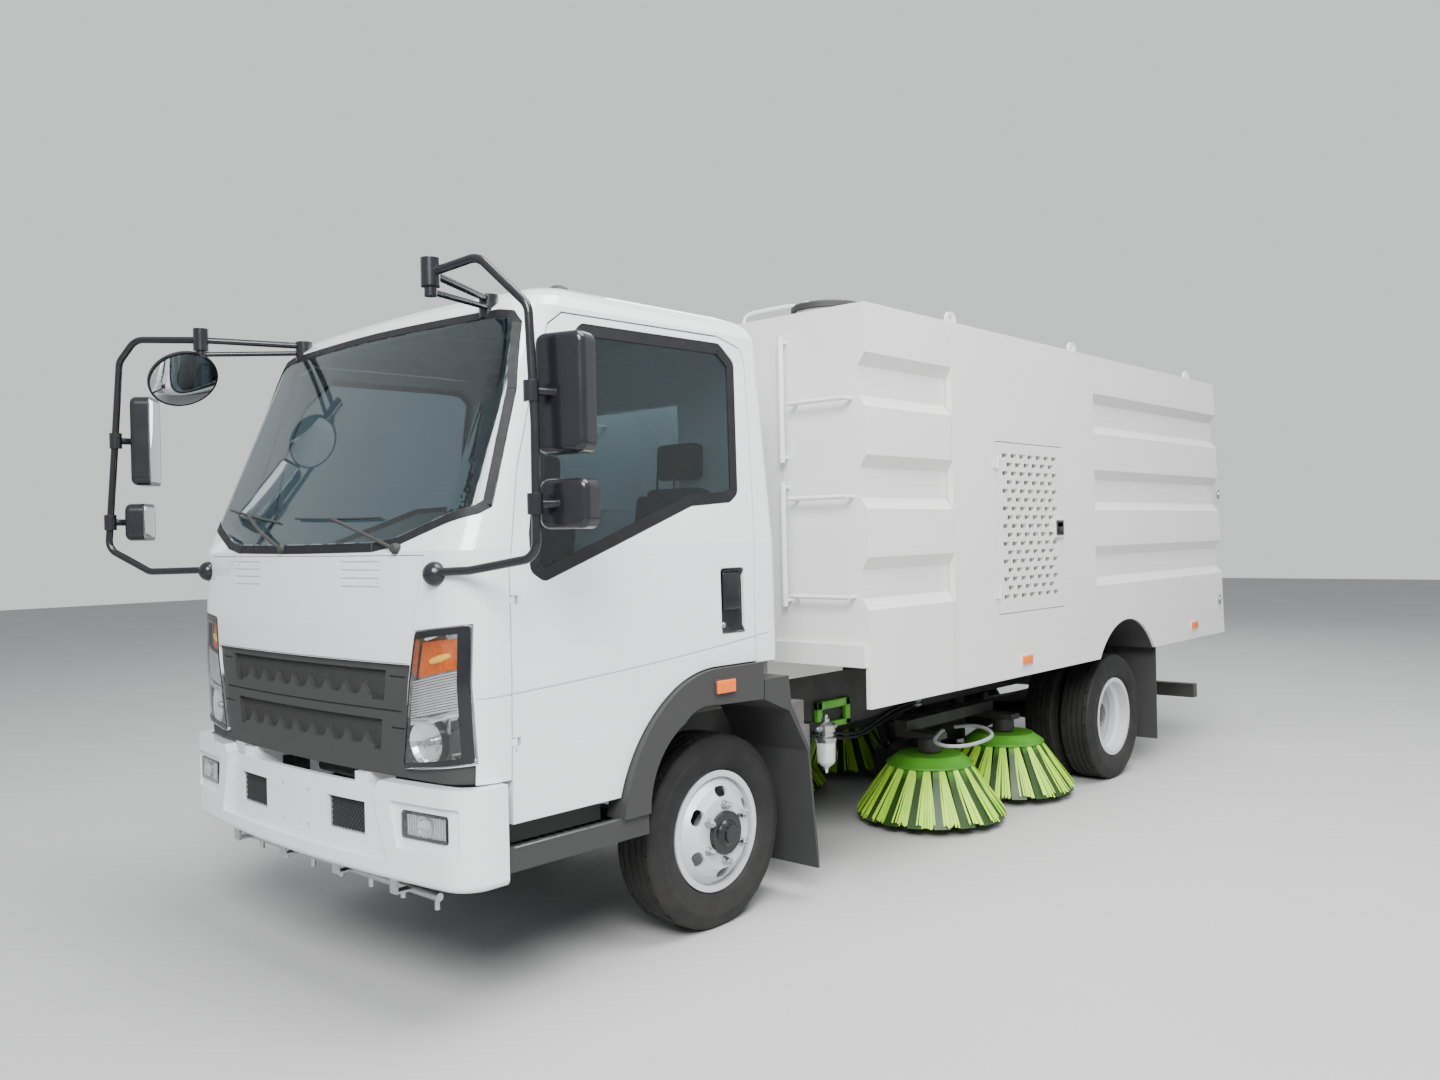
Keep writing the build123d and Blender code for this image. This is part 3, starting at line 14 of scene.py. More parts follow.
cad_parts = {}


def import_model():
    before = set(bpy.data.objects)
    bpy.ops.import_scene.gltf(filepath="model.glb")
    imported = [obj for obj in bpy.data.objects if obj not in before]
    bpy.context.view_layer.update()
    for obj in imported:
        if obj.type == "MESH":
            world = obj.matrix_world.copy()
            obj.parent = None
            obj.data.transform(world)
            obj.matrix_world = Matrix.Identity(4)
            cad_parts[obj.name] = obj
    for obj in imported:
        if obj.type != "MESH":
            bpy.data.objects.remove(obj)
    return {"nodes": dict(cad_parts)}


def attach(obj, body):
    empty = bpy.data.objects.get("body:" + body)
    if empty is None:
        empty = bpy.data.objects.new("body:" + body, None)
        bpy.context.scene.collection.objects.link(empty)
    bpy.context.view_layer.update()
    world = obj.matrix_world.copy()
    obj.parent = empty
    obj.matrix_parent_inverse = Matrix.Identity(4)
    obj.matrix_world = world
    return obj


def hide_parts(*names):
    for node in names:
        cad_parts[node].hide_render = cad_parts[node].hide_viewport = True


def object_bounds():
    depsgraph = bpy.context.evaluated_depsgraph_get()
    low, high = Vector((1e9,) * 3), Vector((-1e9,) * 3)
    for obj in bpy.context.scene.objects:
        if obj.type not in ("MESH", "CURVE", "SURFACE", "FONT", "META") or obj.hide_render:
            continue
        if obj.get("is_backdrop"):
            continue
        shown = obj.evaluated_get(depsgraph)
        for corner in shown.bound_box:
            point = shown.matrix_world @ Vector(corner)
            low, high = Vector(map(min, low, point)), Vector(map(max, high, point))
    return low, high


LOG = logging.getLogger("sweeper")
SHIFT = 1.908  # x of the front axle in the frame of the row
START = 4.5  # where a draped outline starts, outside the truck on every side
WELD = 0.00005  # distance under which corners are merged
GLOSS_SCALE = 1.7  # how much finer the gloss varies than the colour
Piece = bpy.types.Object
Tree = bpy.types.NodeTree
Socket = bpy.types.NodeSocket
Point = tuple[float, float, float]
Colour = tuple[float, float, float]
Outline = Sequence[tuple[float, float]]
FaceTest = Callable[[Vector, Vector], bool]


class View(Enum):
    """The sides that an outline is pressed from: axis and direction."""

    FRONT = (0, 1)
    LEFT = (1, 1)


class Side(Enum):
    """The two sides of the vehicle, as the sign of Y."""

    LEFT = 1
    RIGHT = -1

    @property
    def word(self) -> str:
        """The side's name as the nodes spell it."""
        return self.name.lower()


class Bench:
    """Modelling moves that every sub-assembly shares, in metres."""

    @staticmethod
    def clear(active: Piece | None = None) -> None:
        """Leave edit mode and select nothing, or one object only.

        Args:
            active: The object that becomes the active one.
        """
        if bpy.context.object and bpy.context.object.mode != "OBJECT":
            bpy.ops.object.mode_set(mode="OBJECT")
        bpy.ops.object.select_all(action="DESELECT")
        if active:
            active.select_set(True)
            bpy.context.view_layer.objects.active = active

    @staticmethod
    @contextmanager
    def editing() -> Iterator[None]:
        """Edit the active object's mesh, all of it selected."""
        bpy.ops.object.mode_set(mode="EDIT")
        bpy.ops.mesh.select_all(action="SELECT")
        yield
        bpy.ops.object.mode_set(mode="OBJECT")

    @staticmethod
    def outwards() -> None:
        """Turn all normals of the mesh in edit mode outwards."""
        bpy.ops.mesh.select_all(action="SELECT")
        bpy.ops.mesh.normals_make_consistent(inside=False)

    @staticmethod
    def settle(name: str) -> Piece:
        """Name the active object and put its place into its mesh.

        Args:
            name: Name of the piece.

        Returns:
            The object, at the origin, unturned and unscaled.
        """
        obj = bpy.context.object
        obj.name = obj.data.name = name
        bpy.ops.object.transform_apply(location=True, rotation=True, scale=True)
        return obj

    @classmethod
    def block(cls, name: str, low: Sequence[float], high: Sequence[float], bevel: float = 0.0,
              segments: int = 2) -> Piece:
        """Add a box.

        Args:
            name: Name of the piece.
            low: Lowest corner.
            high: Highest corner.
            bevel: Width of the bevel on its edges, or 0.
            segments: Segments of the bevel.

        Returns:
            The box.
        """
        cls.clear()
        middle = [(a + b) / 2 for a, b in zip(low, high)]
        size = [b - a for a, b in zip(low, high)]
        bpy.ops.mesh.primitive_cube_add(size=1, location=middle, scale=size)
        box = cls.settle(name)
        return cls.soften(box, bevel, segments) if bevel else box

    @classmethod
    def drum(cls, name: str, y: float, radius: float, length: float, sides: int) -> Piece:
        """Add a round bar on the Y axis.

        Args:
            name: Name of the piece.
            y: Its middle.
            radius: Its radius.
            length: Its length.
            sides: Number of its sides.

        Returns:
            The bar.
        """
        cls.clear()
        bpy.ops.mesh.primitive_cylinder_add(vertices=sides, radius=radius, depth=length, location=(0, y, 0),
                                            rotation=(-math.pi / 2, 0, 0))
        return cls.settle(name)

    @classmethod
    def trace(cls, name: str, points: Sequence[Sequence[float]], closed: bool = True) -> Piece:
        """Draw an outline by extruding one corner from point to point.

        Args:
            name: Name of the piece.
            points: Its corners.
            closed: Whether the outline is filled with a face.

        Returns:
            A flat face, or an open line.
        """
        cls.clear()
        bpy.ops.mesh.primitive_plane_add(size=0.01, location=points[0])
        obj = cls.settle(name)
        with cls.editing():
            bpy.ops.mesh.select_mode(type="VERT")
            bpy.ops.mesh.merge(type="CENTER")
            for before, after in zip(points, points[1:]):
                step = [b - a for a, b in zip(before, after)]
                bpy.ops.mesh.extrude_region_move(TRANSFORM_OT_translate={"value": step})
            bpy.ops.mesh.select_all(action="SELECT")
            if closed:
                bpy.ops.mesh.edge_face_add()
        return obj

    @classmethod
    def turned(cls, name: str, points: Sequence[Sequence[float]], axis: Point, steps: int) -> Piece:
        """Spin a line round an axis through the origin.

        Args:
            name: Name of the piece.
            points: The line's points.
            axis: Direction of the axis.
            steps: Number of steps round the circle.

        Returns:
            The turned piece, doubles merged and normals outwards.
        """
        obj = cls.trace(name, points, closed=False)
        with cls.editing():
            bpy.ops.mesh.spin(steps=steps, angle=math.tau, center=(0, 0, 0), axis=axis)
            bpy.ops.mesh.select_all(action="SELECT")
            bpy.ops.mesh.remove_doubles(threshold=WELD)
            cls.outwards()
        return obj

    @classmethod
    def turned_part(cls, name: str, line: Sequence[tuple[float, float]], place_at: Sequence[float],
                    way: Sequence[float], steps: int = 24, shade: float = 32.0) -> Piece:
        """Turn a line of (radius, height) pairs and stand it on a point along a direction.

        Args:
            name: Name of the piece.
            line: Radius and height of each point, from one end of the axis to the other.
            place_at: Where height 0 lies.
            way: Direction of rising height.
            steps: Number of steps round the circle.
            shade: Angle that is shaded smooth, or 0 for flat faces.

        Returns:
            The turned piece.
        """
        obj = cls.turned(name, [(r, 0, h) for r, h in line], (0, 0, 1), steps)
        turn = Vector(way).to_track_quat("Z", "Y").to_matrix().to_4x4()
        obj.data.transform(Matrix.Translation(place_at) @ turn)
        return cls.smooth(obj, shade) if shade else obj

    @classmethod
    def pick_faces(cls, obj: Piece, test: FaceTest) -> int:
        """Enter edit mode with the faces selected that pass a test.

        Args:
            obj: The piece.
            test: Called with a face's centre and normal.

        Returns:
            How many faces are selected.
        """
        cls.clear(obj)
        bpy.ops.object.mode_set(mode="EDIT")
        bpy.ops.mesh.select_mode(type="FACE")
        bpy.ops.mesh.select_all(action="DESELECT")
        bpy.ops.object.mode_set(mode="OBJECT")
        picked = [face for face in obj.data.polygons if test(face.center, face.normal)]
        for face in picked:
            face.select = True
        bpy.ops.object.mode_set(mode="EDIT")
        return len(picked)

    @classmethod
    def inset(cls, obj: Piece, test: FaceTest, width: float, depth: float = 0.0, single: bool = False) -> None:
        """Inset the faces that pass a test.

        Args:
            obj: The piece.
            test: Called with a face's centre and normal.
            width: Width of the border.
            depth: How far they are pushed out.
            single: Whether each face is inset by itself.
        """
        if cls.pick_faces(obj, test):
            bpy.ops.mesh.inset(thickness=width, depth=depth, use_individual=single)
        bpy.ops.object.mode_set(mode="OBJECT")

    @classmethod
    def taper(cls, obj: Piece, test: FaceTest, scale: Point, about: Point) -> None:
        """Scale the faces that pass a test about a point.

        Args:
            obj: The piece.
            test: Called with a face's centre and normal.
            scale: Factors along X, Y and Z.
            about: The point that stays.
        """
        if cls.pick_faces(obj, test):
            bpy.ops.transform.resize(value=scale, center_override=about)
        bpy.ops.object.mode_set(mode="OBJECT")

    @classmethod
    def modify(cls, obj: Piece, kind: str, **settings: object) -> Piece:
        """Add a modifier, set it and apply it.

        Args:
            obj: The piece.
            kind: The modifier's type.
            settings: Its values.

        Returns:
            The same piece.
        """
        cls.clear(obj)
        modifier = obj.modifiers.new(kind.title(), kind)
        for key, value in settings.items():
            setattr(modifier, key, value)
        bpy.ops.object.modifier_apply(modifier=modifier.name)
        return obj

    @classmethod
    def soften(cls, obj: Piece, width: float, segments: int = 2) -> Piece:
        """Bevel the sharp edges and shade the rest smooth.

        Args:
            obj: The piece.
            width: Width of the bevel.
            segments: Segments of the bevel.

        Returns:
            The same piece.
        """
        cls.modify(obj, "BEVEL", width=width, segments=segments, limit_method="ANGLE",
                   angle_limit=math.radians(35.0), harden_normals=False)
        return cls.smooth(obj)

    @classmethod
    def smooth(cls, obj: Piece, angle: float = 32.0) -> Piece:
        """Shade smooth where faces turn by less than an angle.

        Args:
            obj: The piece.
            angle: The angle in degrees.

        Returns:
            The same piece.
        """
        cls.clear(obj)
        bpy.ops.object.shade_smooth_by_angle(angle=math.radians(angle))
        return obj

    @classmethod
    def hose(cls, name: str, points: Sequence[Point], radius: float, sides: int = 4) -> Piece:
        """Lay a round tube on a smooth curve through the points.

        Args:
            name: Name of the piece.
            points: Its route.
            radius: Radius of the tube.
            sides: Bevel resolution of the curve.

        Returns:
            The tube as a mesh.
        """
        cls.clear()
        bpy.ops.curve.primitive_nurbs_path_add(location=(0, 0, 0))
        obj = bpy.context.object
        spline = obj.data.splines[0]
        spare = len(points) - len(spline.points)
        if spare > 0:
            spline.points.add(spare)
        else:
            obj.data.splines.remove(spline)
            spline = obj.data.splines.new("NURBS")
            spline.points.add(len(points) - 1)
        for knot, spot_at in zip(spline.points, points):
            knot.co = (*spot_at, 1)
        spline.order_u = 3
        spline.use_endpoint_u = True
        obj.data.bevel_depth = radius
        obj.data.bevel_resolution = sides
        obj.data.resolution_u = 6
        obj.data.use_fill_caps = True
        bpy.ops.object.convert(target="MESH")
        obj = cls.settle(name)
        bpy.ops.object.shade_smooth()
        return obj

    @classmethod
    def join(cls, name: str, pieces: Sequence[Piece]) -> Piece:
        """Join several pieces into the first one.

        Args:
            name: Name of the joined piece.
            pieces: What to join.

        Returns:
            The joined piece.
        """
        cls.clear(pieces[0])
        for piece in pieces:
            piece.select_set(True)
        bpy.ops.object.join()
        pieces[0].name = pieces[0].data.name = name
        return pieces[0]

    @staticmethod
    def copy(obj: Piece, name: str, turn: Matrix) -> Piece:
        """Copy a piece with a mesh of its own.

        Args:
            obj: The piece.
            name: Name of the copy.
            turn: Matrix that the copy's mesh is moved by.

        Returns:
            The copy, its normals outwards.
        """
        twin = obj.copy()
        twin.data = obj.data.copy()
        twin.name = twin.data.name = name
        bpy.context.scene.collection.objects.link(twin)
        twin.data.transform(turn)
        if turn.determinant() < 0:
            twin.data.flip_normals()
        return twin

    @classmethod
    def skin_of(cls, node: Piece, name: str, test: FaceTest) -> Piece:
        """Copy the faces of a CAD node that pass a test, merged into clean faces.

        Args:
            node: The CAD node's object.
            name: Name of the new piece.
            test: Called with a face's centre and normal.

        Returns:
            The copied skin.
        """
        cls.clear()
        twin = cls.copy(node, name, Matrix.Identity(4))
        twin.parent = None
        for key in list(twin.keys()):
            del twin[key]
        cls.pick_faces(twin, test)
        bpy.ops.mesh.select_all(action="INVERT")
        bpy.ops.mesh.delete(type="FACE")
        bpy.ops.mesh.select_all(action="SELECT")
        bpy.ops.mesh.remove_doubles(threshold=WELD)
        bpy.ops.mesh.dissolve_limited(angle_limit=math.radians(0.3))
        bpy.ops.mesh.customdata_custom_splitnormals_clear()
        bpy.ops.object.mode_set(mode="OBJECT")
        twin.data.materials.clear()
        return twin

    @staticmethod
    def clipped(corners: Outline, cut: float) -> Outline:
        """An outline with its corners cut off.

        Args:
            corners: The outline.
            cut: Length cut from both edges of each corner.

        Returns:
            The outline with two points for each corner.
        """
        points = []
        for index, corner in enumerate(corners):
            here = Vector(corner)
            for other in (corners[index - 1], corners[(index + 1) % len(corners)]):
                way = (Vector(other) - here).normalized()
                points.append(tuple(here + way * cut))
        return points

    @classmethod
    def drape(cls, name: str, corners: Outline, node: Piece, view: View, thick: float, lift: float = 0.0,
              pitch: float = 0.03, window: Outline = ()) -> Piece:
        """Press a flat outline onto a node's surface and give it thickness.

        Args:
            name: Name of the piece.
            corners: The outline as that view shows it: (y, z), (x, z) or (x, y).
            node: The node that it is pressed onto.
            view: The side that it is pressed from.
            thick: Thickness outwards.
            lift: Distance of its back from the surface.
            pitch: Spacing of the cuts that let it bend.
            window: Convex outline that is cut out of the piece.

        Returns:
            The piece.
        """
        axis, away = view.value
        plane = [i for i in range(3) if i != axis]

        def spread(first: float, second: float, third: float = 0.0) -> list[float]:
            """A point or a direction from its two coordinates in the view."""
            point = [third] * 3
            point[plane[0]], point[plane[1]] = first, second
            return point

        points = [spread(*corner, away * START) for corner in corners]
        cuts = []
        for way in plane:
            low, high = min(p[way] for p in points), max(p[way] for p in points)
            count = int((high - low) / pitch)
            along = Vector([float(k == way) for k in range(3)])
            cuts += [(along * (low + step * (high - low) / (count + 1)), along) for step in range(1, count + 1)]
        for here, there in zip(window, [*window[1:], *window[:1]]):
            cuts.append((spread(*here), spread(there[1] - here[1], here[0] - there[0])))
        obj = cls.trace(name, points)
        with cls.editing():
            for level, normal in cuts:
                bpy.ops.mesh.select_all(action="SELECT")
                bpy.ops.mesh.bisect(plane_co=level, plane_no=normal)
        if window:
            cls.cut_window(obj, window, plane)
        cls.modify(obj, "SHRINKWRAP", target=node, wrap_method="PROJECT", use_project_x=axis == 0,
                   use_project_y=axis == 1, use_project_z=axis == 2, use_negative_direction=away > 0,
                   use_positive_direction=away < 0)
        landed = [v.co.copy() for v in obj.data.vertices if abs(v.co[axis]) < START - 0.1]
        for vertex in obj.data.vertices:
            if abs(vertex.co[axis]) > START - 0.1:
                near = min(landed, key=lambda c, v=vertex: (c[plane[0]] - v.co[plane[0]]) ** 2
                           + (c[plane[1]] - v.co[plane[1]]) ** 2)
                vertex.co[axis] = near[axis]
        push = Vector((0.0, 0.0, 0.0))
        push[axis] = lift * away
        obj.data.transform(Matrix.Translation(push))
        if sum(face.normal[axis] for face in obj.data.polygons) * away < 0:
            obj.data.flip_normals()
        return cls.modify(obj, "SOLIDIFY", thickness=thick, offset=1.0)

    @classmethod
    def cut_window(cls, obj: Piece, window: Outline, plane: Sequence[int]) -> None:
        """Delete the faces inside a convex outline.

        Args:
            obj: The flat piece, already cut along the outline.
            window: The outline.
            plane: The two axes that it is given in.
        """
        def inside(centre: Vector, _: Vector) -> bool:
            """Whether a face's centre lies on the same side of every edge."""
            turns = [(there[0] - here[0]) * (centre[plane[1]] - here[1])
                     - (there[1] - here[1]) * (centre[plane[0]] - here[0])
                     for here, there in zip(window, [*window[1:], *window[:1]])]
            return all(t > 0 for t in turns) or all(t < 0 for t in turns)

        if cls.pick_faces(obj, inside):
            bpy.ops.mesh.delete(type="FACE")
        bpy.ops.object.mode_set(mode="OBJECT")

    @classmethod
    def lattice(cls, name: str, box: Sequence[float], pitch: float, wire: float,
                reach: Callable[[float, float], float]) -> Piece:
        """A diagonal wire mesh that fills a rectangle of the front view.

        Args:
            name: Name of the piece.
            box: Lowest y, highest y, lowest z and highest z.
            pitch: Width of a cell.
            wire: Thickness of the wire.
            reach: Gives the mesh's x for a y and a z.

        Returns:
            The wire mesh.
        """
        left, right, low, high = box
        cls.clear()
        size = 1.1 * (right - left + high - low)
        cells = int(size / pitch)
        bpy.ops.mesh.primitive_grid_add(x_subdivisions=cells, y_subdivisions=cells, size=size,
                                        location=(0, 0, 0), rotation=(0, 0, math.pi / 4))
        obj = cls.settle(name)
        middle = Matrix.Translation((0, (left + right) / 2, (low + high) / 2))
        obj.data.transform(middle @ Matrix.Rotation(math.pi / 2, 4, "Y"))
        with cls.editing():
            for level, normal in (((0, left, 0), (0, -1, 0)), ((0, right, 0), (0, 1, 0)),
                                  ((0, 0, low), (0, 0, -1)), ((0, 0, high), (0, 0, 1))):
                bpy.ops.mesh.select_all(action="SELECT")
                bpy.ops.mesh.bisect(plane_co=level, plane_no=normal, clear_outer=True)
        for vertex in obj.data.vertices:
            vertex.co.x = reach(vertex.co.y, vertex.co.z)
        return cls.modify(obj, "WIREFRAME", thickness=wire, use_replace=True, use_boundary=True)


def add_node(tree: Tree, kind: str, values: dict[int | str, object] | None = None,
             **traits: object) -> bpy.types.Node:
    """Add a shader node.

    Args:
        tree: The tree that it goes into.
        kind: Its type, without the prefix.
        values: Values of its inputs.
        traits: Its properties, set before the inputs.

    Returns:
        The node.
    """
    node = tree.nodes.new(f"ShaderNode{kind}")
    for trait, value in traits.items():
        setattr(node, trait, value)
    for socket, value in (values or {}).items():
        node.inputs[socket].default_value = value
    return node


def wire(tree: Tree, nodes: dict[str, bpy.types.Node], links: Sequence[str]) -> None:
    """Link nodes.

    Args:
        tree: Their tree.
        nodes: The nodes by short names.
        links: Each as "source.output > target.input", sockets by name or number.
    """
    for link in links:
        (source, outlet), (target, inlet) = (end.split(".") for end in link.split(" > "))
        tree.links.new(nodes[source].outputs[int(outlet) if outlet.isdigit() else outlet],
                       nodes[target].inputs[int(inlet) if inlet.isdigit() else inlet])


class Effects:
    """Shader groups that several finishes share."""

    @staticmethod
    def group(name: str, inputs: dict[str, float], output: str, parts: dict[str, tuple[str, dict, dict]],
              links: Sequence[str]) -> Tree:
        """Build a group once.

        Args:
            name: Name of the group.
            inputs: Input names and their first values.
            output: Name of the output.
            parts: Each node's type, input values and properties.
            links: How wire links them; the ends are called in and out.

        Returns:
            The group.
        """
        known = bpy.data.node_groups.get(name)
        if known:
            return known
        tree = bpy.data.node_groups.new(name, "ShaderNodeTree")
        for key, value in inputs.items():
            socket = tree.interface.new_socket(name=key, in_out="INPUT", socket_type="NodeSocketFloat")
            socket.default_value = value
        tree.interface.new_socket(name=output, in_out="OUTPUT", socket_type="NodeSocketFloat")
        nodes = {"in": tree.nodes.new("NodeGroupInput"), "out": tree.nodes.new("NodeGroupOutput"),
                 "place": add_node(tree, "TexCoord")}
        for key, (kind, values, traits) in parts.items():
            nodes[key] = add_node(tree, kind, values, **traits)
        wire(tree, nodes, links)
        return tree

    @classmethod
    def grain(cls) -> Tree:
        """Fine moulded grain as a height: Scale in, Height out."""
        return cls.group("moulded_grain", {"Scale": 400.0}, "Height", {
            "cells": ("TexVoronoi", {}, {}), "noise": ("TexNoise", {"Detail": 3.0}, {}),
            "both": ("Math", {1: 0.6}, {"operation": "MULTIPLY_ADD"})}, (
            "place.Object > cells.Vector", "place.Object > noise.Vector", "in.Scale > cells.Scale",
            "in.Scale > noise.Scale", "cells.Distance > both.0", "noise.Fac > both.2", "both.0 > out.Height"))

    @classmethod
    def dust(cls) -> Tree:
        """Road dust, and on the green dishes painted shade, that thins out upwards: Top, Amount and Scale in, Mask
        out.
        """
        return cls.group("road_dust_and_painted_shade", {"Top": 0.9, "Amount": 0.5, "Scale": 6.0}, "Mask", {
            "split": ("SeparateXYZ", {}, {}), "share": ("Math", {}, {"operation": "DIVIDE"}),
            "flip": ("Math", {0: 1.0}, {"operation": "SUBTRACT", "use_clamp": True}),
            "noise": ("TexNoise", {"Detail": 6.0, "Roughness": 0.65}, {}),
            "patch": ("Math", {}, {"operation": "MULTIPLY"}),
            "gain": ("Math", {}, {"operation": "MULTIPLY", "use_clamp": True})}, (
            "place.Object > split.0", "place.Object > noise.Vector", "in.Scale > noise.Scale",
            "split.Z > share.0", "in.Top > share.1", "share.0 > flip.1", "flip.0 > patch.0",
            "noise.Fac > patch.1", "patch.0 > gain.0", "in.Amount > gain.1", "gain.0 > out.Mask"))

    @classmethod
    def patches(cls) -> Tree:
        """Soft uneven patches between two values: Scale, Low and High in, Value out."""
        return cls.group("soft_patches", {"Scale": 3.0, "Low": 0.2, "High": 0.4}, "Value", {
            "noise": ("TexNoise", {"Detail": 4.0}, {}),
            "spread": ("MapRange", {"From Min": 0.3, "From Max": 0.7}, {})}, (
            "place.Object > noise.Vector", "in.Scale > noise.Scale", "noise.Fac > spread.Value",
            "in.Low > spread.To Min", "in.High > spread.To Max", "spread.Result > out.Value"))


def patch_node(tree: Tree, scale: float, low: float, high: float) -> Socket:
    """Add soft patches of a scale between two values to a tree, and return their socket."""
    return add_node(tree, "Group", {"Scale": scale, "Low": low, "High": high},
                    node_tree=Effects.patches()).outputs["Value"]


@dataclass(frozen=True)
class Finish:
    """One surface finish and its values."""

    name: str
    colour: Colour
    second: Colour
    patch_scale: float
    rough: tuple[float, float]
    metal: float = 0.0
    coat: float = 0.0
    grain: float = 0.0
    grain_scale: float = 400.0
    grain_depth: float = 0.0004
    edge: float = 0.0
    # road dust towards the bottom; on the green dishes this same layer is painted shade, darker towards the bottom
    dust: float = 0.0
    dust_top: float = 0.9
    dust_colour: Colour = (0.33, 0.31, 0.28)
    glow: float = 0.0
    shine: float = 0.5

    def material(self) -> bpy.types.Material:
        """Build the finish as a Blender material, once.

        Returns:
            The material.
        """
        known = bpy.data.materials.get(self.name)
        if known:
            return known
        made = bpy.data.materials.new(self.name)
        made.use_nodes = True
        tree = made.node_tree
        link = tree.links.new
        ports = tree.nodes["Principled BSDF"].inputs
        ports["Metallic"].default_value = self.metal
        ports["Coat Weight"].default_value = self.coat
        ports["Coat Roughness"].default_value = 0.06
        ports["Specular IOR Level"].default_value = self.shine
        link(self.blend_colours(tree), ports["Base Color"])
        link(patch_node(tree, self.patch_scale * GLOSS_SCALE, *self.rough), ports["Roughness"])
        normal = None
        if self.edge:
            normal = add_node(tree, "Bevel", {"Radius": self.edge}, samples=4).outputs["Normal"]
        if self.grain:
            height = add_node(tree, "Group", {"Scale": self.grain_scale}, node_tree=Effects.grain())
            bump = add_node(tree, "Bump", {"Strength": self.grain, "Distance": self.grain_depth})
            link(height.outputs["Height"], bump.inputs["Height"])
            if normal:
                link(normal, bump.inputs["Normal"])
            normal = bump.outputs["Normal"]
        if normal:
            link(normal, ports["Normal"])
        if self.glow:
            ports["Emission Color"].default_value = (*self.colour, 1)
            ports["Emission Strength"].default_value = self.glow
        made.diffuse_color = (*self.colour, 1)
        return made

    def blend_colours(self, tree: Tree) -> Socket:
        """Lay patches, then dust (painted shade on the green dishes), over the base colour.

        Args:
            tree: The material's node tree.

        Returns:
            The socket that carries the colour.
        """
        mix = add_node(tree, "Mix", {"A": (*self.colour, 1), "B": (*self.second, 1)}, data_type="RGBA")
        tree.links.new(patch_node(tree, self.patch_scale, 0.0, 1.0), mix.inputs["Factor"])
        if not self.dust:
            return mix.outputs["Result"]
        # dust layer, which on the green dishes paints shade towards the bottom
        dust_and_shade_mask = add_node(tree, "Group", {"Top": self.dust_top, "Amount": self.dust}, node_tree=Effects.dust())
        over = add_node(tree, "Mix", {"B": (*self.dust_colour, 1)}, data_type="RGBA")
        tree.links.new(dust_and_shade_mask.outputs["Mask"], over.inputs["Factor"])
        tree.links.new(mix.outputs["Result"], over.inputs["A"])
        return over.outputs["Result"]


@dataclass(frozen=True)
class Glazing:
    """Clear or tinted glass of one thickness."""

    name: str
    tint: Colour
    rough: float = 0.01

    def material(self) -> bpy.types.Material:
        """Build the glass as a Blender material, once.

        Returns:
            The material.
        """
        known = bpy.data.materials.get(self.name)
        if known:
            return known
        made = bpy.data.materials.new(self.name)
        made.use_nodes = True
        tree = made.node_tree
        ports = tree.nodes["Principled BSDF"].inputs
        ports["Transmission Weight"].default_value = 1.0
        ports["Metallic"].default_value = 0.0
        ports["IOR"].default_value = 1.45
        ports["Base Color"].default_value = (*self.tint, 1)
        tree.links.new(patch_node(tree, 2.0, self.rough, self.rough + 0.02), ports["Roughness"])
        made.diffuse_color = (*self.tint, 0.4)
        return made


CAB_WHITE = Finish("cab_white", (0.80, 0.815, 0.83), (0.78, 0.795, 0.81), 1.5, (0.22, 0.30), coat=0.8, edge=0.003,
                   dust=0.10, dust_top=1.1)
BODY_WHITE = Finish("body_white", (0.76, 0.76, 0.745), (0.73, 0.73, 0.715), 1.2, (0.30, 0.40), coat=0.5,
                    edge=0.003, dust=0.10, dust_top=1.3)
FRAME_BLACK = Finish("frame_black", (0.015, 0.016, 0.018), (0.026, 0.025, 0.024), 5.0, (0.4, 0.6), edge=0.002,
                     dust=0.2, dust_top=0.9, shine=0.35)
CAST = Finish("cast_grey", (0.10, 0.10, 0.105), (0.16, 0.15, 0.14), 12.0, (0.5, 0.7), 0.5, grain=0.4,
              grain_scale=300.0, dust=0.4)
SPRING = Finish("spring_steel", (0.07, 0.07, 0.075), (0.12, 0.11, 0.10), 8.0, (0.35, 0.55), 0.7, edge=0.001,
                dust=0.4)
STEEL = Finish("satin_steel", (0.50, 0.51, 0.52), (0.42, 0.42, 0.43), 20.0, (0.25, 0.4), 1.0, edge=0.001)
WHEEL_SILVER = Finish("wheel_silver", (0.62, 0.635, 0.65), (0.55, 0.56, 0.57), 9.0, (0.3, 0.42), 0.55, coat=0.2,
                      edge=0.0015, dust=0.18, dust_top=0.8)
CHROME = Finish("chrome", (0.82, 0.83, 0.84), (0.78, 0.79, 0.8), 10.0, (0.04, 0.1), 1.0)
MIRROR = Finish("mirror_glass", (0.72, 0.75, 0.77), (0.70, 0.73, 0.75), 3.0, (0.01, 0.02), 1.0)
PLASTIC = Finish("black_plastic", (0.010, 0.011, 0.014), (0.015, 0.016, 0.019), 6.0, (0.42, 0.55), edge=0.002,
                 grain=0.2, grain_scale=700.0, grain_depth=0.0003, dust=0.05, shine=0.3)
GLOSS_BLACK = Finish("gloss_black", (0.008, 0.009, 0.012), (0.011, 0.012, 0.015), 6.0, (0.2, 0.3), coat=0.25,
                     edge=0.002, shine=0.35)
TRIM = Finish("cab_trim", (0.035, 0.036, 0.04), (0.045, 0.046, 0.05), 5.0, (0.5, 0.62), grain=0.2,
              grain_scale=600.0, edge=0.004)
SEAT = Finish("seat_cloth", (0.03, 0.031, 0.035), (0.045, 0.046, 0.05), 30.0, (0.8, 0.95), grain=0.2,
              grain_scale=1500.0, edge=0.012)
RUBBER = Finish("seal_rubber", (0.008, 0.008, 0.010), (0.012, 0.012, 0.014), 20.0, (0.5, 0.65), grain=0.1,
                shine=0.3)
TYRE = Finish("tyre_rubber", (0.008, 0.008, 0.009), (0.014, 0.0135, 0.013), 9.0, (0.62, 0.8), grain=0.3,
              grain_scale=350.0, dust=0.12, dust_top=0.7, dust_colour=(0.2, 0.19, 0.175), shine=0.3)
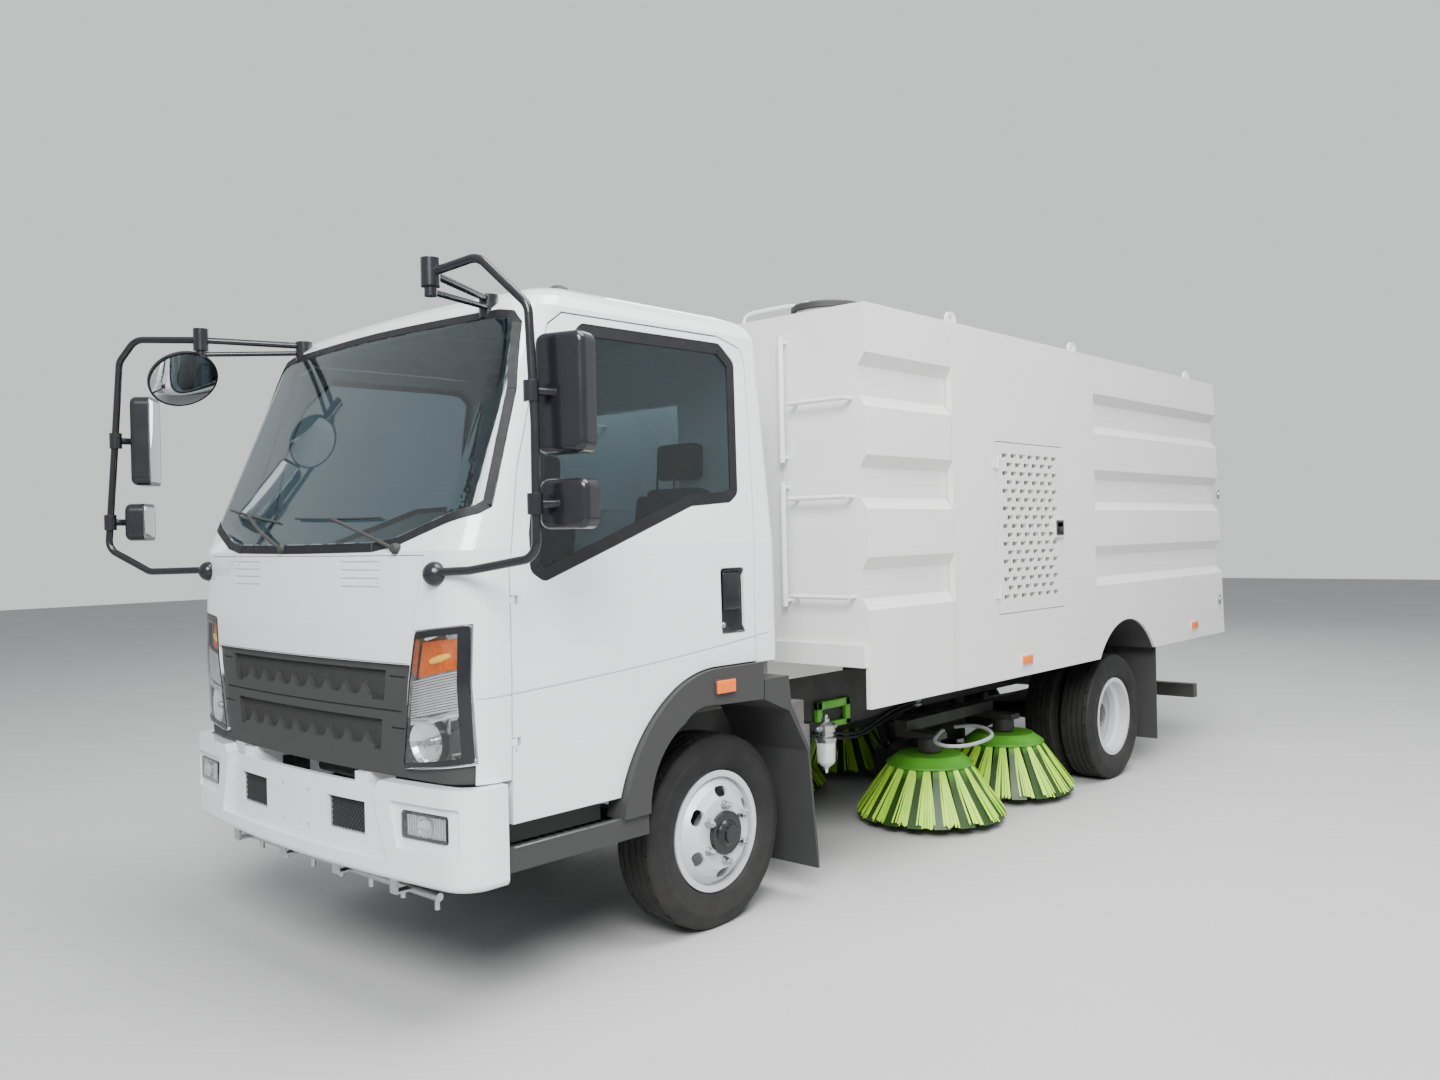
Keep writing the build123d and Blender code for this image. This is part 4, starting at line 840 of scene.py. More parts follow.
AMBER = Finish("amber_lens", (0.82, 0.17, 0.008), (0.74, 0.14, 0.006), 40.0, (0.12, 0.2), coat=0.25, glow=0.05,
               shine=0.35)
RED = Finish("red_lens", (0.50, 0.012, 0.010), (0.42, 0.010, 0.008), 40.0, (0.12, 0.2), coat=0.25, glow=0.04,
             shine=0.35)
REFLECTOR = Finish("lamp_reflector", (0.72, 0.73, 0.75), (0.5, 0.51, 0.52), 60.0, (0.08, 0.2), 0.9)
BULB = Finish("yellow_bulb", (1.0, 0.58, 0.05), (0.95, 0.5, 0.04), 30.0, (0.1, 0.2), coat=0.6, glow=0.35)
OPTIC = Finish("pressed_optic", (0.78, 0.79, 0.80), (0.68, 0.69, 0.70), 30.0, (0.08, 0.18), 0.25, coat=0.8)
BLUE = Finish("blue_cap", (0.02, 0.10, 0.42), (0.03, 0.13, 0.48), 14.0, (0.35, 0.45))
LENS = Glazing("clear_lens", (0.93, 0.95, 0.96))
GLASS = Glazing("tinted_glass", (0.28, 0.36, 0.39))
GAUGE = Glazing("gauge_tube", (0.80, 0.85, 0.88), 0.08)
BRISTLE = Finish("lime_bristle", (0.40, 0.84, 0.03), (0.60, 0.90, 0.06), 14.0, (0.35, 0.5), edge=0.0)
# dark green towards the bottom of the dishes is painted shade, not dust
DISH = Finish("green_dish", (0.09, 0.40, 0.03), (0.14, 0.47, 0.04), 10.0, (0.3, 0.45), edge=0.002, dust=8.0,
              dust_top=0.345, dust_colour=(0.018, 0.05, 0.008))
HOSE_GREY = Finish("grey_hose", (0.34, 0.35, 0.36), (0.26, 0.27, 0.28), 30.0, (0.4, 0.55))

NODE_FINISH: tuple[tuple[Finish | Glazing, str], ...] = (
    (CAB_WHITE, "cab_shell front_panel door_left door_right bumper"),
    (GLASS, "cab_glass door_glass_left door_glass_right"),
    (PLASTIC, "grille cab_fenders tank_lid mudguards suction_duct"),
    (REFLECTOR, "headlamps fog_lamps"), (TRIM, "dashboard steering_wheel"), (SEAT, "seats"),
    (STEEL, "spray_bar"), (GLOSS_BLACK, "mirrors"), (SPRING, "leaf_springs"), (GAUGE, "level_gauges"),
    (CHROME, "lift_rods"), (CAST, "engine_blocks knuckle_left knuckle_right side_gear"),
    (FRAME_BLACK, "chassis_frame front_axle rear_axle underrun_bar fuel_tank brush_arm_left brush_arm_right "
                  "suction_nozzle lift_barrels"),
    (TYRE, "tyre_front_left tyre_front_right tyres_rear_left tyres_rear_right"),
    (WHEEL_SILVER, "rim_front_left rim_front_right rims_rear_left rims_rear_right"),
    (BODY_WHITE, "water_tank hopper_shell hopper_side_left hopper_side_right hopper_roof rear_door "
                 "engine_door_left engine_door_right"),
    (DISH, "brush_front_left brush_front_right brush_rear_left brush_rear_right"),
)


def place(piece: Piece, body: str, finish: Finish | Glazing) -> Piece:
    """Give a piece its finish and its body, and log where it rides.

    Args:
        piece: The new piece.
        body: The body it moves with.
        finish: Its finish.

    Returns:
        The same piece.
    """
    piece.data.materials.clear()
    piece.data.materials.append(finish.material())
    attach(piece, body)
    LOG.info("%s rides on %s", piece.name, body)
    return piece


def pair(piece: Piece, body: str, finish: Finish | Glazing) -> None:
    """Place a left-hand piece and its mirrored twin.

    Args:
        piece: The left piece, with the word left in its name.
        body: The body of the left piece.
        finish: The finish of both.
    """
    twin = Bench.copy(piece, piece.name.replace("left", "right"), Matrix.Diagonal((1, -1, 1, 1)))
    place(piece, body, finish)
    place(twin, body.replace("left", "right"), finish)


def spot(x: float, y: float, z: float) -> Point:
    """A point measured from the front axle, in the frame of the row."""
    return (x + SHIFT, y, z)


def bow(y: float, half: float, rise: float) -> float:
    """How far a bowed panel falls back at a y, from its half width and its rise."""
    radius = (half ** 2 + rise ** 2) / (2 * rise)
    return math.sqrt(radius ** 2 - y * y) - radius


def nose(y: float, z: float) -> float:
    """How far forward the cab's front reaches at a place.

    Args:
        y: Distance from the middle.
        z: Height.

    Returns:
        Its x in the frame of the row.
    """
    levels = ((0.600, 1.298), (1.100, 1.312), (1.525, 1.300), (2.362, 0.952))
    for (low, x0), (high, x1) in zip(levels, levels[1:]):
        if z <= high:
            break
    return x0 + (x1 - x0) * (z - low) / (high - low) + bow(y, 0.93, 0.06) + SHIFT


def bumper_line(y: float) -> float:
    """How far forward the bumper's set-back middle part reaches at a y."""
    return 1.326 + bow(y, 0.962, 0.078) + SHIFT


@dataclass
class Studio:
    """Pale floor, soft light and the camera of the photograph."""

    eye: Point = (3.3621 + SHIFT, 3.9225, 1.5541)
    yaw: float = 222.0096
    pitch: float = -0.2102
    roll: float = 1.1899
    lens: float = 28.717
    floor_size: float = 60.0
    floor_colour: Colour = (0.44, 0.44, 0.435)
    aim: Point = (0.0, 0.0, 0.8)

    def build(self) -> None:
        """Make the floor, the light and the camera."""
        self.floor()
        self.light()
        self.camera()

    def floor(self) -> None:
        """A wide pale floor with a faint speckle, just under the wheels."""
        Bench.clear()
        bpy.ops.mesh.primitive_plane_add(size=self.floor_size, location=(0, 0, -0.0005))
        ground = Bench.settle("studio_floor")
        finish = Finish("studio_floor", self.floor_colour, tuple(c * 0.96 for c in self.floor_colour), 0.8,
                        (0.75, 0.9))
        ground.data.materials.append(finish.material())
        ground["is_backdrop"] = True

    def light(self) -> None:
        """An even world light, white to the camera, and soft lamps above."""
        world = bpy.data.worlds.new("studio")
        bpy.context.scene.world = world
        world.use_nodes = True
        tree = world.node_tree
        back = tree.nodes["Background"]
        back.inputs["Color"].default_value = (0.86, 0.90, 0.95, 1)
        back.inputs["Strength"].default_value = 0.55
        nodes = {"back": back, "out": tree.nodes["World Output"], "path": add_node(tree, "LightPath"),
                 "seen": add_node(tree, "Background", {"Color": (0.86, 0.87, 0.88, 1), "Strength": 1.0}),
                 "either": add_node(tree, "Math", operation="MAXIMUM"),
                 "third": add_node(tree, "Math", operation="MAXIMUM"), "mix": add_node(tree, "MixShader")}
        wire(tree, nodes, (
            "path.Is Camera Ray > either.0", "path.Is Glossy Ray > either.1", "either.0 > third.0",
            "path.Is Transmission Ray > third.1", "third.0 > mix.0", "back.0 > mix.1", "seen.0 > mix.2",
            "mix.0 > out.Surface"))
        for name, seat, size, power in (
                ("key", (8.0, 6.0, 7.0), 5.0, 1750.0), ("top", (0.5, 3.0, 9.0), 7.0, 1550.0),
                ("rear_fill", (-9.0, -6.0, 6.0), 7.0, 420.0)):
            data = bpy.data.lights.new(name, "AREA")
            data.shape = "DISK"
            data.size = size
            data.energy = power
            lamp = bpy.data.objects.new(name, data)
            bpy.context.scene.collection.objects.link(lamp)
            lamp.location = seat
            lamp.rotation_euler = (Vector(self.aim) - Vector(seat)).to_track_quat("-Z", "Y").to_euler()

    def camera(self) -> None:
        """The camera that was solved from the photograph."""
        yaw, pitch, roll = (math.radians(a) for a in (self.yaw, self.pitch, self.roll))
        ahead = Vector((math.cos(yaw) * math.cos(pitch), math.sin(yaw) * math.cos(pitch), math.sin(pitch)))
        right = Vector((math.sin(yaw), -math.cos(yaw), 0))
        down = ahead.cross(right)
        across = math.cos(roll) * right + math.sin(roll) * down
        drop = -math.sin(roll) * right + math.cos(roll) * down
        data = bpy.data.cameras.new("photo_camera")
        data.sensor_width = 36.0
        data.lens = self.lens
        data.clip_end = 200.0
        camera = bpy.data.objects.new("photo_camera", data)
        bpy.context.scene.collection.objects.link(camera)
        turn = Matrix((across, -drop, -ahead)).transposed().to_4x4()
        camera.matrix_world = Matrix.Translation(self.eye) @ turn
        bpy.context.scene.camera = camera


@dataclass
class PaintShop:
    """Finishes on the CAD nodes."""

    nodes: dict[str, Piece]

    def dress(self) -> None:
        """Give every CAD node its finish."""
        for finish, names in NODE_FINISH:
            for name in names.split():
                node = self.nodes[name]
                if not node.data.materials:
                    node.data.materials.append(finish.material())
                for place_of in node.material_slots:
                    place_of.material = finish.material()
        LOG.info("dressed the nodes")


@dataclass
class Wheels:
    """Tyres with tread, wheel nuts and hub caps."""

    radius: float = 0.3835
    shoulder: float = 0.080
    groove: float = 0.0045
    steps: int = 96
    wheelbase: float = 3.56
    track: float = 0.760
    twin: float = 0.7465
    spread: float = 0.233
    front_disc: float = 0.125
    rear_disc: float = 0.011
    rear_cap: float = 0.116
    stud_circle: float = 0.111

    def profile(self) -> list[Point]:
        """Trace the tyre's section from bead to bead, for a wheel on the Y axis.

        Returns:
            Its points, as (0, y, z).
        """
        r, s, w = self.radius, self.shoulder, self.groove
        wall = [(0.2405, -0.0795), (0.246, -0.087), (0.254, -0.0935), (0.256, -0.0955), (0.262, -0.0962),
                (0.264, -0.0985), (0.285, -0.1040), (0.300, -0.1056), (0.318, -0.1050), (0.322, -0.1062),
                (0.336, -0.1035), (0.338, -0.1015), (0.352, -0.0975), (0.366, -0.0925), (r - 0.006, -s - 0.006),
                (r - 0.001, -s + 0.002)]
        line = list(wall)
        for y in (-0.050, -0.0175, 0.0175, 0.050):
            line += [(r, y - w - 0.001), (r - 0.002, y - w), (r - 0.010, y - w * 0.5),
                     (r - 0.010, y + w * 0.5), (r - 0.002, y + w), (r, y + w + 0.001)]
        line += [(z, -y) for z, y in reversed(wall)]
        return [(0.0, y, z) for z, y in line]

    def tyre(self) -> Piece:
        """Make one tyre with sipes across its shoulders.

        Returns:
            The tyre, about the origin.
        """
        obj = Bench.turned("tyre_form", self.profile(), (0, 1, 0), self.steps)
        edge = self.radius - 0.012

        def lug(centre: Vector, normal: Vector) -> bool:
            """Every fourth face on the two shoulder ribs."""
            turn = round(math.degrees(math.atan2(centre.x, centre.z)) / (360 / self.steps) - 0.5)
            return (centre.xz.length > edge and 0.056 < abs(centre.y) < 0.0775 and turn % 4 == 0
                    and centre.xz.normalized().dot(normal.xz) > 0.9)

        Bench.inset(obj, lug, 0.004, -0.007, single=True)
        return Bench.smooth(obj, 24.0)

    def nut(self) -> Piece:
        """Make a wheel nut with a flange and a stud end.

        Returns:
            The nut, pointing along +Y from the origin.
        """
        nut = Bench.drum("nut_form", 0.004, 0.0185, 0.008, 24)
        Bench.taper(nut, lambda c, n: n.y > 0.9, (0.86, 1, 0.86), (0, 0.008, 0))
        hexa = Bench.soften(Bench.drum("nut_hex", 0.018, 0.0155, 0.022, 6), 0.0012, 1)
        stud = Bench.soften(Bench.drum("nut_stud", 0.028, 0.0085, 0.022, 16), 0.0015, 1)
        return Bench.join("nut_form", [nut, hexa, stud])

    def build(self) -> None:
        """Make all wheels' details."""
        form, nut = self.tyre(), self.nut()
        rear = SHIFT - self.wheelbase
        for side in Side:
            s, word = side.value, side.word
            middle = Matrix.Translation((SHIFT, s * self.track, self.radius))
            tyre = place(Bench.copy(form, f"tread_front_{word}", middle), f"wheel_front_{word}", TYRE)
            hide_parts(f"tyre_front_{word}")
            face = (SHIFT, s * (self.track + self.front_disc), self.radius)
            cap = Bench.turned_part(f"hub_cap_front_{word}", (
                (0.0855, 0.0004), (0.0855, 0.0150), (0.0830, 0.0172), (0.0540, 0.0176), (0.0400, 0.0330),
                (0.0370, 0.0345), (0.0370, 0.0440), (0.0340, 0.0465), (0.0, 0.0470)), face, (0, s, 0), 40)
            place(cap, f"wheel_front_{word}", GLOSS_BLACK)
            end = Bench.turned_part(f"hub_cap_rear_{word}", (
                (0.0735, -0.050), (0.0735, 0.0), (0.0700, 0.004), (0.0460, 0.006), (0.0420, 0.012), (0.0, 0.014)),
                (rear, s * (self.twin + self.rear_cap), self.radius), (0, s, 0), 36)
            place(end, f"wheels_rear_{word}", GLOSS_BLACK)
            self.ring_of_nuts(nut, f"nuts_front_{word}", face, s, f"wheel_front_{word}")
            twins = []
            for y in (self.twin - self.spread / 2, self.twin + self.spread / 2):
                middle = Matrix.Translation((rear, s * y, self.radius))
                twins.append(Bench.copy(form, f"tread_rear_{word}_{len(twins)}", middle))
            tyre = place(Bench.join(f"tread_rear_{word}", twins), f"wheels_rear_{word}", TYRE)
            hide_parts(f"tyres_rear_{word}")
            face = (rear, s * (self.twin + self.rear_disc), self.radius)
            self.ring_of_nuts(nut, f"nuts_rear_{word}", face, s, f"wheels_rear_{word}")
        bpy.data.objects.remove(form)
        bpy.data.objects.remove(nut)

    def ring_of_nuts(self, nut: Piece, name: str, centre: Point, sign: int, body: str) -> None:
        """Six nuts round a hub.

        Args:
            nut: The nut to copy.
            name: Name of the ring.
            centre: Where the disc's face meets the axle.
            sign: 1 on the left side, -1 on the right.
            body: The wheel's body.
        """
        ring = []
        flip = Matrix.Identity(4) if sign > 0 else Matrix.Rotation(math.pi, 4, "Z")
        for index in range(6):
            spin = Matrix.Rotation(math.radians(index * 60), 4, "Y")
            out = Matrix.Translation((0, 0, self.stud_circle))
            ring.append(Bench.copy(nut, f"{name}_{index}", Matrix.Translation(centre) @ spin @ out @ flip))
        place(Bench.join(name, ring), body, STEEL)


@dataclass
class Brushes:
    """Discs with flat fans of bristles."""

    spots: dict[str, tuple[float, float]] = field(default_factory=lambda: {
        "front": (-1.980 + SHIFT, 0.600), "rear": (-2.800 + SHIFT, 0.600)})
    tufts: int = 18
    bristles: int = 34
    root_radius: float = 0.205
    root_z: float = 0.322
    tip_radius: float = 0.375
    tip_z: float = 0.047
    fan: float = 0.044
    root_half: float = 0.013
    layer_step: float = 0.007
    rag: Point = (0.016, 0.006, 0.022)
    bristle_radius: float = 0.0021
    seed: int = 41

    def fan_of_bristles(self, source: random.Random) -> Piece:
        """One flat fan: thin strips from a narrow root to a wide ragged tip.

        Args:
            source: Seeded random source.

        Returns:
            The fan, leaning along +X.
        """
        Bench.clear()
        bpy.ops.mesh.primitive_circle_add(vertices=4, radius=self.bristle_radius, fill_type="NGON",
                                          location=(0, 0, 0))
        seed = Bench.settle("bristle_seed")
        pieces = []
        for index in range(self.bristles):
            share = index / (self.bristles - 1) * 2 - 1
            layer = (index % 3 - 1) * self.layer_step
            root = Vector((self.root_radius + layer, share * self.root_half, self.root_z))
            out, across, up = self.rag
            tip = Vector((self.tip_radius + layer * 2 + source.uniform(-out, out),
                          share * self.fan + source.uniform(-across, across),
                          self.tip_z + source.uniform(0.0, up)))
            middle = root.lerp(tip, 0.55) + Vector((-0.010, 0, 0.012))
            twin = Bench.copy(seed, f"bristle_{index}", Matrix.Translation(root))
            Bench.clear(twin)
            with Bench.editing():
                for step, scale in ((middle - root, (1.15, 1.6, 1.0)), (tip - middle, (0.8, 1.3, 1.0))):
                    bpy.ops.mesh.extrude_region_move(TRANSFORM_OT_translate={"value": tuple(step)})
                    bpy.ops.transform.resize(value=scale)
                Bench.outwards()
            pieces.append(twin)
        bpy.data.objects.remove(seed)
        return Bench.join("bristle_fan", pieces)

    def build(self) -> None:
        """Make the four rings of bristles."""
        source = random.Random(self.seed)
        fans = [self.fan_of_bristles(source) for _ in range(3)]
        ring = []
        for index in range(self.tufts):
            spin = Matrix.Rotation(math.tau * index / self.tufts, 4, "Z")
            ring.append(Bench.copy(fans[index % 3], f"fan_{index}", spin))
        whole = Bench.smooth(Bench.join("bristle_ring", ring), 60.0)
        for end, (x, y) in self.spots.items():
            for side in Side:
                turn = Matrix.Translation((x, side.value * y, 0)) @ Matrix.Rotation(x * 3, 4, "Z")
                piece = Bench.copy(whole, f"bristles_{end}_{side.word}", turn)
                place(piece, f"brush_{end}_{side.word}", BRISTLE)
        for piece in (*fans, whole):
            bpy.data.objects.remove(piece)


@dataclass
class Lamps:
    """Headlamps, fog lamps, tail lamps and side markers."""

    nodes: dict[str, Piece]
    rim: Outline = ((0.631, 0.8155), (0.909, 0.8525), (0.909, 1.2865), (0.7095, 1.2635))
    fog_rim: Outline = ((0.657, 0.602), (0.868, 0.602), (0.868, 0.688), (0.657, 0.688))
    bars: int = 14
    bowl_y: float = 0.735
    bowl_z: float = 0.908
    way: Point = (0.985, 0.17, 0.0)
    rim_cut: float = 0.0075
    fog_cut: float = 0.007
    tail_x: tuple[float, float] = (-5.3405, -5.3295)
    tail_z: tuple[float, float] = (0.795, 0.857)
    marker_half: float = 0.059
    marker_edge: float = 0.006
    marker_inset: float = 0.007

    def build(self) -> None:
        """Make every lamp."""
        self.head_cover()
        self.head_optics()
        self.head_bowl()
        self.fog()
        self.tail()
        self.markers()

    def press(self, name: str, corners: Outline, thick: float, lift: float, pitch: float,
              window: Outline = ()) -> Piece:
        """Press a left-hand outline onto the headlamp or the fog lamp that its name says.

        Args:
            name: Name of the piece, starting with fog for the fog lamp.
            corners: The outline in the front view.
            thick: Thickness outwards.
            lift: Distance of its back from the surface.
            pitch: Spacing of the cuts that let it bend.
            window: Outline that is cut out.

        Returns:
            The piece.
        """
        lamp = self.nodes["fog_lamps" if name.startswith("fog") else "headlamps"]
        return Bench.drape(name, corners, lamp, View.FRONT, thick, lift, pitch, window)

    def head_cover(self) -> None:
        """Tub, clear cover and black surround of the headlamps."""
        tub = Bench.skin_of(self.nodes["headlamps"], "lamp_tub_left", lambda c, n: c.y > 0 and n.x < 0.3)
        Bench.modify(tub, "SOLIDIFY", thickness=0.0015, offset=-1.0)
        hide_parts("headlamps")
        pair(tub, "cab", REFLECTOR)
        edge = Bench.clipped(self.rim, self.rim_cut)
        pair(Bench.smooth(self.press("lamp_cover_left", edge, 0.0025, -0.0025, 0.018)), "cab", LENS)
        frame = self.press("lamp_surround_left", edge, 0.003, -0.001, 0.018,
                           ((0.637, 0.833), (0.881, 0.867), (0.881, 1.262), (0.7105, 1.241)))
        pair(Bench.soften(frame, 0.0008, 1), "cab", GLOSS_BLACK)

    def head_optics(self) -> None:
        """Amber screen, bulb, ribbed optic and sill behind the headlamp's cover."""
        amber = self.press("lamp_amber_left", ((0.689, 1.112), (0.876, 1.152), (0.876, 1.248), (0.709, 1.228)),
                           0.004, -0.034, 0.017)
        Bench.inset(amber, lambda c, n: n.x > 0.3, 0.0016, -0.0022, single=True)
        pair(Bench.smooth(amber, 20.0), "cab", AMBER)
        bulb = Bench.turned_part("lamp_bulb_left", (
            (0.0, 0.0), (0.006, 0.001), (0.010, 0.014), (0.0125, 0.045), (0.011, 0.078), (0.005, 0.088),
            (0.0, 0.089)), (nose(0.83, 1.19) - 0.036, 0.835, 1.192), (0.25, -0.93, -0.28), 16)
        pair(bulb, "cab", BULB)
        rows = []
        for index in range(self.bars):
            (a, b), (c, d) = [((0.664 + 0.021 * share, 0.980 + 0.124 * share), (0.876, 1.024 + 0.122 * share))
                              for share in ((index + 0.12) / self.bars, (index + 0.80) / self.bars)]
            rows.append(self.press(f"row_{index}", (a, b, d, c), 0.005, -0.016, 0.03))
        pair(Bench.soften(Bench.join("lamp_ribs_left", rows), 0.0012), "cab", OPTIC)
        sill = self.press("lamp_sill_left", ((0.660, 0.957), (0.780, 0.975), (0.876, 1.004), (0.876, 1.024),
                                             (0.780, 0.995), (0.664, 0.980)), 0.010, -0.016, 0.02)
        pair(Bench.soften(sill, 0.002), "cab", CHROME)

    def head_bowl(self) -> None:
        """Reflector bowl with its ring and cap, and the black panel beside it."""
        seat = (nose(self.bowl_y, self.bowl_z) - 0.037, self.bowl_y, self.bowl_z)
        bowl = Bench.turned_part("lamp_bowl_left", (
            (0.0, 0.004), (0.020, 0.004), (0.040, 0.007), (0.058, 0.014), (0.070, 0.026), (0.074, 0.029),
            (0.074, 0.024), (0.060, 0.010), (0.040, 0.003), (0.0, 0.001)), seat, self.way, 20, 0.0)
        pair(bowl, "cab", CHROME)
        ring = Bench.turned_part("lamp_ring_left", (
            (0.0742, 0.0), (0.0790, 0.0), (0.0790, 0.028), (0.0742, 0.030), (0.0742, 0.0)), seat, self.way, 32)
        pair(ring, "cab", GLOSS_BLACK)
        cap = Bench.turned_part("lamp_cap_left", (
            (0.013, 0.005), (0.013, 0.020), (0.010, 0.025), (0.0, 0.027)), seat, self.way, 16)
        pair(cap, "cab", STEEL)
        side = self.press("lamp_side_left", ((0.842, 0.880), (0.874, 0.884), (0.874, 0.992), (0.842, 0.984)),
                          0.006, -0.018, 0.02)
        Bench.inset(side, lambda c, n: n.x > 0.3, 0.004, -0.003)
        pair(side, "cab", GLOSS_BLACK)

    def fog(self) -> None:
        """Frame, ribs, bowl and cover of the fog lamps."""
        edge = Bench.clipped(self.fog_rim, self.fog_cut)
        frame = self.press("fog_frame_left", edge, 0.010, -0.002, 0.02,
                           ((0.674, 0.610), (0.861, 0.610), (0.861, 0.680), (0.668, 0.680)))
        pair(Bench.soften(frame, 0.0012), "cab", GLOSS_BLACK)
        bars = []
        for first in (0.680, 0.803):
            for y in (first + 0.0115 * n for n in range(5)):
                bars.append(self.press(f"fog_bar_{len(bars)}", (
                    (y, 0.611), (y + 0.006, 0.611), (y + 0.006, 0.679), (y, 0.679)), 0.004, -0.001, 0.03))
        pair(Bench.soften(Bench.join("fog_ribs_left", bars), 0.0015), "cab", OPTIC)
        bowl = Bench.turned_part("fog_bowl_left", (
            (0.0, 0.000), (0.012, 0.001), (0.022, 0.003), (0.030, 0.007), (0.032, 0.007), (0.031, 0.0)),
            (bumper_line(0.768) + 0.0085, 0.768, 0.645), self.way, 18, 0.0)
        pair(bowl, "cab", CHROME)
        pair(Bench.smooth(self.press("fog_cover_left", edge, 0.002, 0.0085, 0.02)), "cab", LENS)

    def tail(self) -> None:
        """Three chambers of each tail lamp in the pockets of the rear valance."""
        for name, finish, y0, y1 in (("reverse", OPTIC, 0.703, 0.785), ("turn", AMBER, 0.788, 0.871),
                                     ("stop", RED, 0.874, 0.957)):
            low, high = zip(self.tail_x, (y0, y1), self.tail_z)
            lens = Bench.block(f"tail_{name}_left", spot(*low), spot(*high), 0.003)
            Bench.inset(lens, lambda c, n: n.x < -0.9, 0.006, 0.0015)
            Bench.inset(lens, lambda c, n: n.x < -0.9, 0.010, -0.001)
            pair(lens, "hopper", finish)

    def markers(self) -> None:
        """Amber side markers on the wheel-arch trims and along the body."""
        for name, body, base, x, y, z, half in (("fender", "cab", PLASTIC, 0.061, 0.9575, 0.973, 0.031),
                                                ("body_front", "hopper", OPTIC, -2.271, 1.0295, 0.860, 0.030),
                                                ("body_rear", "hopper", OPTIC, -4.7315, 1.0295, 0.870, 0.030)):
            long, edge = self.marker_half, self.marker_edge
            pair(Bench.block(f"marker_base_{name}_left", spot(x - long, y, z - half),
                             spot(x + long, y + 0.005, z + half), 0.002), body, base)
            long -= self.marker_inset
            pair(Bench.block(f"marker_lens_{name}_left", spot(x - long, y + 0.004, z - half + edge),
                             spot(x + long, y + 0.015, z + half - edge), 0.004, 3), body, AMBER)


@dataclass
class Front:
    """Wire meshes, their backing in the bumper, wipers and the roof dome."""

    grille_weave: tuple[float, float] = (0.0115, 0.0022)
    grille_depth: float = 0.023
    bumper_weave: tuple[float, float] = (0.013, 0.0026)
    bumper_depth: float = 0.015
    bumper_y: tuple[float, float] = (0.217, 0.443)
    bumper_z: tuple[float, float] = (0.572, 0.686)
    backing_depth: float = 0.0225
    backing_turn: float = 3.2

    def build(self) -> None:
        """Make the front's fittings."""
        bands = []
        for low, high, half in ((1.0305, 1.1315, 0.528), (0.8625, 0.9655, 0.498)):
            bands.append(Bench.lattice(f"band_{len(bands)}", (-half, half, low, high), *self.grille_weave,
                                       lambda y, z: nose(y, z) - self.grille_depth))
        place(Bench.join("grille_mesh", bands), "cab", PLASTIC)
        for side in Side:
            near, far = sorted(side.value * y for y in self.bumper_y)
            mesh = Bench.lattice(f"bumper_mesh_{side.word}", (near, far, *self.bumper_z), *self.bumper_weave,
                                 lambda y, z: bumper_line(y) - self.bumper_depth)
            place(mesh, "cab", PLASTIC)
        backing = Bench.block("bumper_backing_left", (-0.0015, -0.111, -0.055), (0.0015, 0.111, 0.055))
        backing.data.transform(Matrix.Translation((bumper_line(0.33) - self.backing_depth, 0.33, 0.629))
                               @ Matrix.Rotation(math.radians(self.backing_turn), 4, "Z"))
        pair(backing, "cab", RUBBER)
        self.wipers()
        self.dome()

    def wipers(self) -> None:
        """Two wipers parked across the lower windscreen."""
        def over(point: tuple[float, float], lift: float) -> Point:
            """A point of the front view, lifted off the glass."""
            return (nose(*point) + lift, *point)

        for name, root, elbow, tip, near, far in (
                ("left", (0.611, 1.533), (0.470, 1.580), (0.205, 1.640), (-0.072, 1.650), (0.470, 1.640)),
                ("right", (-0.104, 1.539), (-0.300, 1.600), (-0.470, 1.668), (-0.713, 1.700), (-0.219, 1.640))):
            pieces = [Bench.hose(f"wiper_{kind}_{name}", [over(*step) for step in route], radius, sides)
                      for kind, radius, sides, route in (
                          ("arm", 0.0065, 3, ((root, 0.012), (elbow, 0.030), (tip, 0.020))),
                          ("spine", 0.0045, 2, ((near, 0.012), (tip, 0.017), (far, 0.012))),
                          ("edge", 0.0035, 2, ((near, 0.005), (tip, 0.006), (far, 0.005))))]
            pieces.append(Bench.turned_part(f"wiper_pivot_{name}", (
                (0.019, -0.02), (0.019, 0.010), (0.014, 0.020), (0.0, 0.023)), over(root, 0.0), (1, 0, 0.2), 20))
            place(Bench.join(f"wiper_{name}", pieces), "cab", PLASTIC)

    def dome(self) -> None:
        """Low black dome on the cab's roof."""
        dome = Bench.turned_part("roof_dome", (
            (0.049, -0.02), (0.049, 0.012), (0.046, 0.026), (0.036, 0.042), (0.018, 0.051), (0.0, 0.053)),
            spot(0.552, 0.600, 2.452), (0, 0, 1), 28)
        place(dome, "cab", PLASTIC)


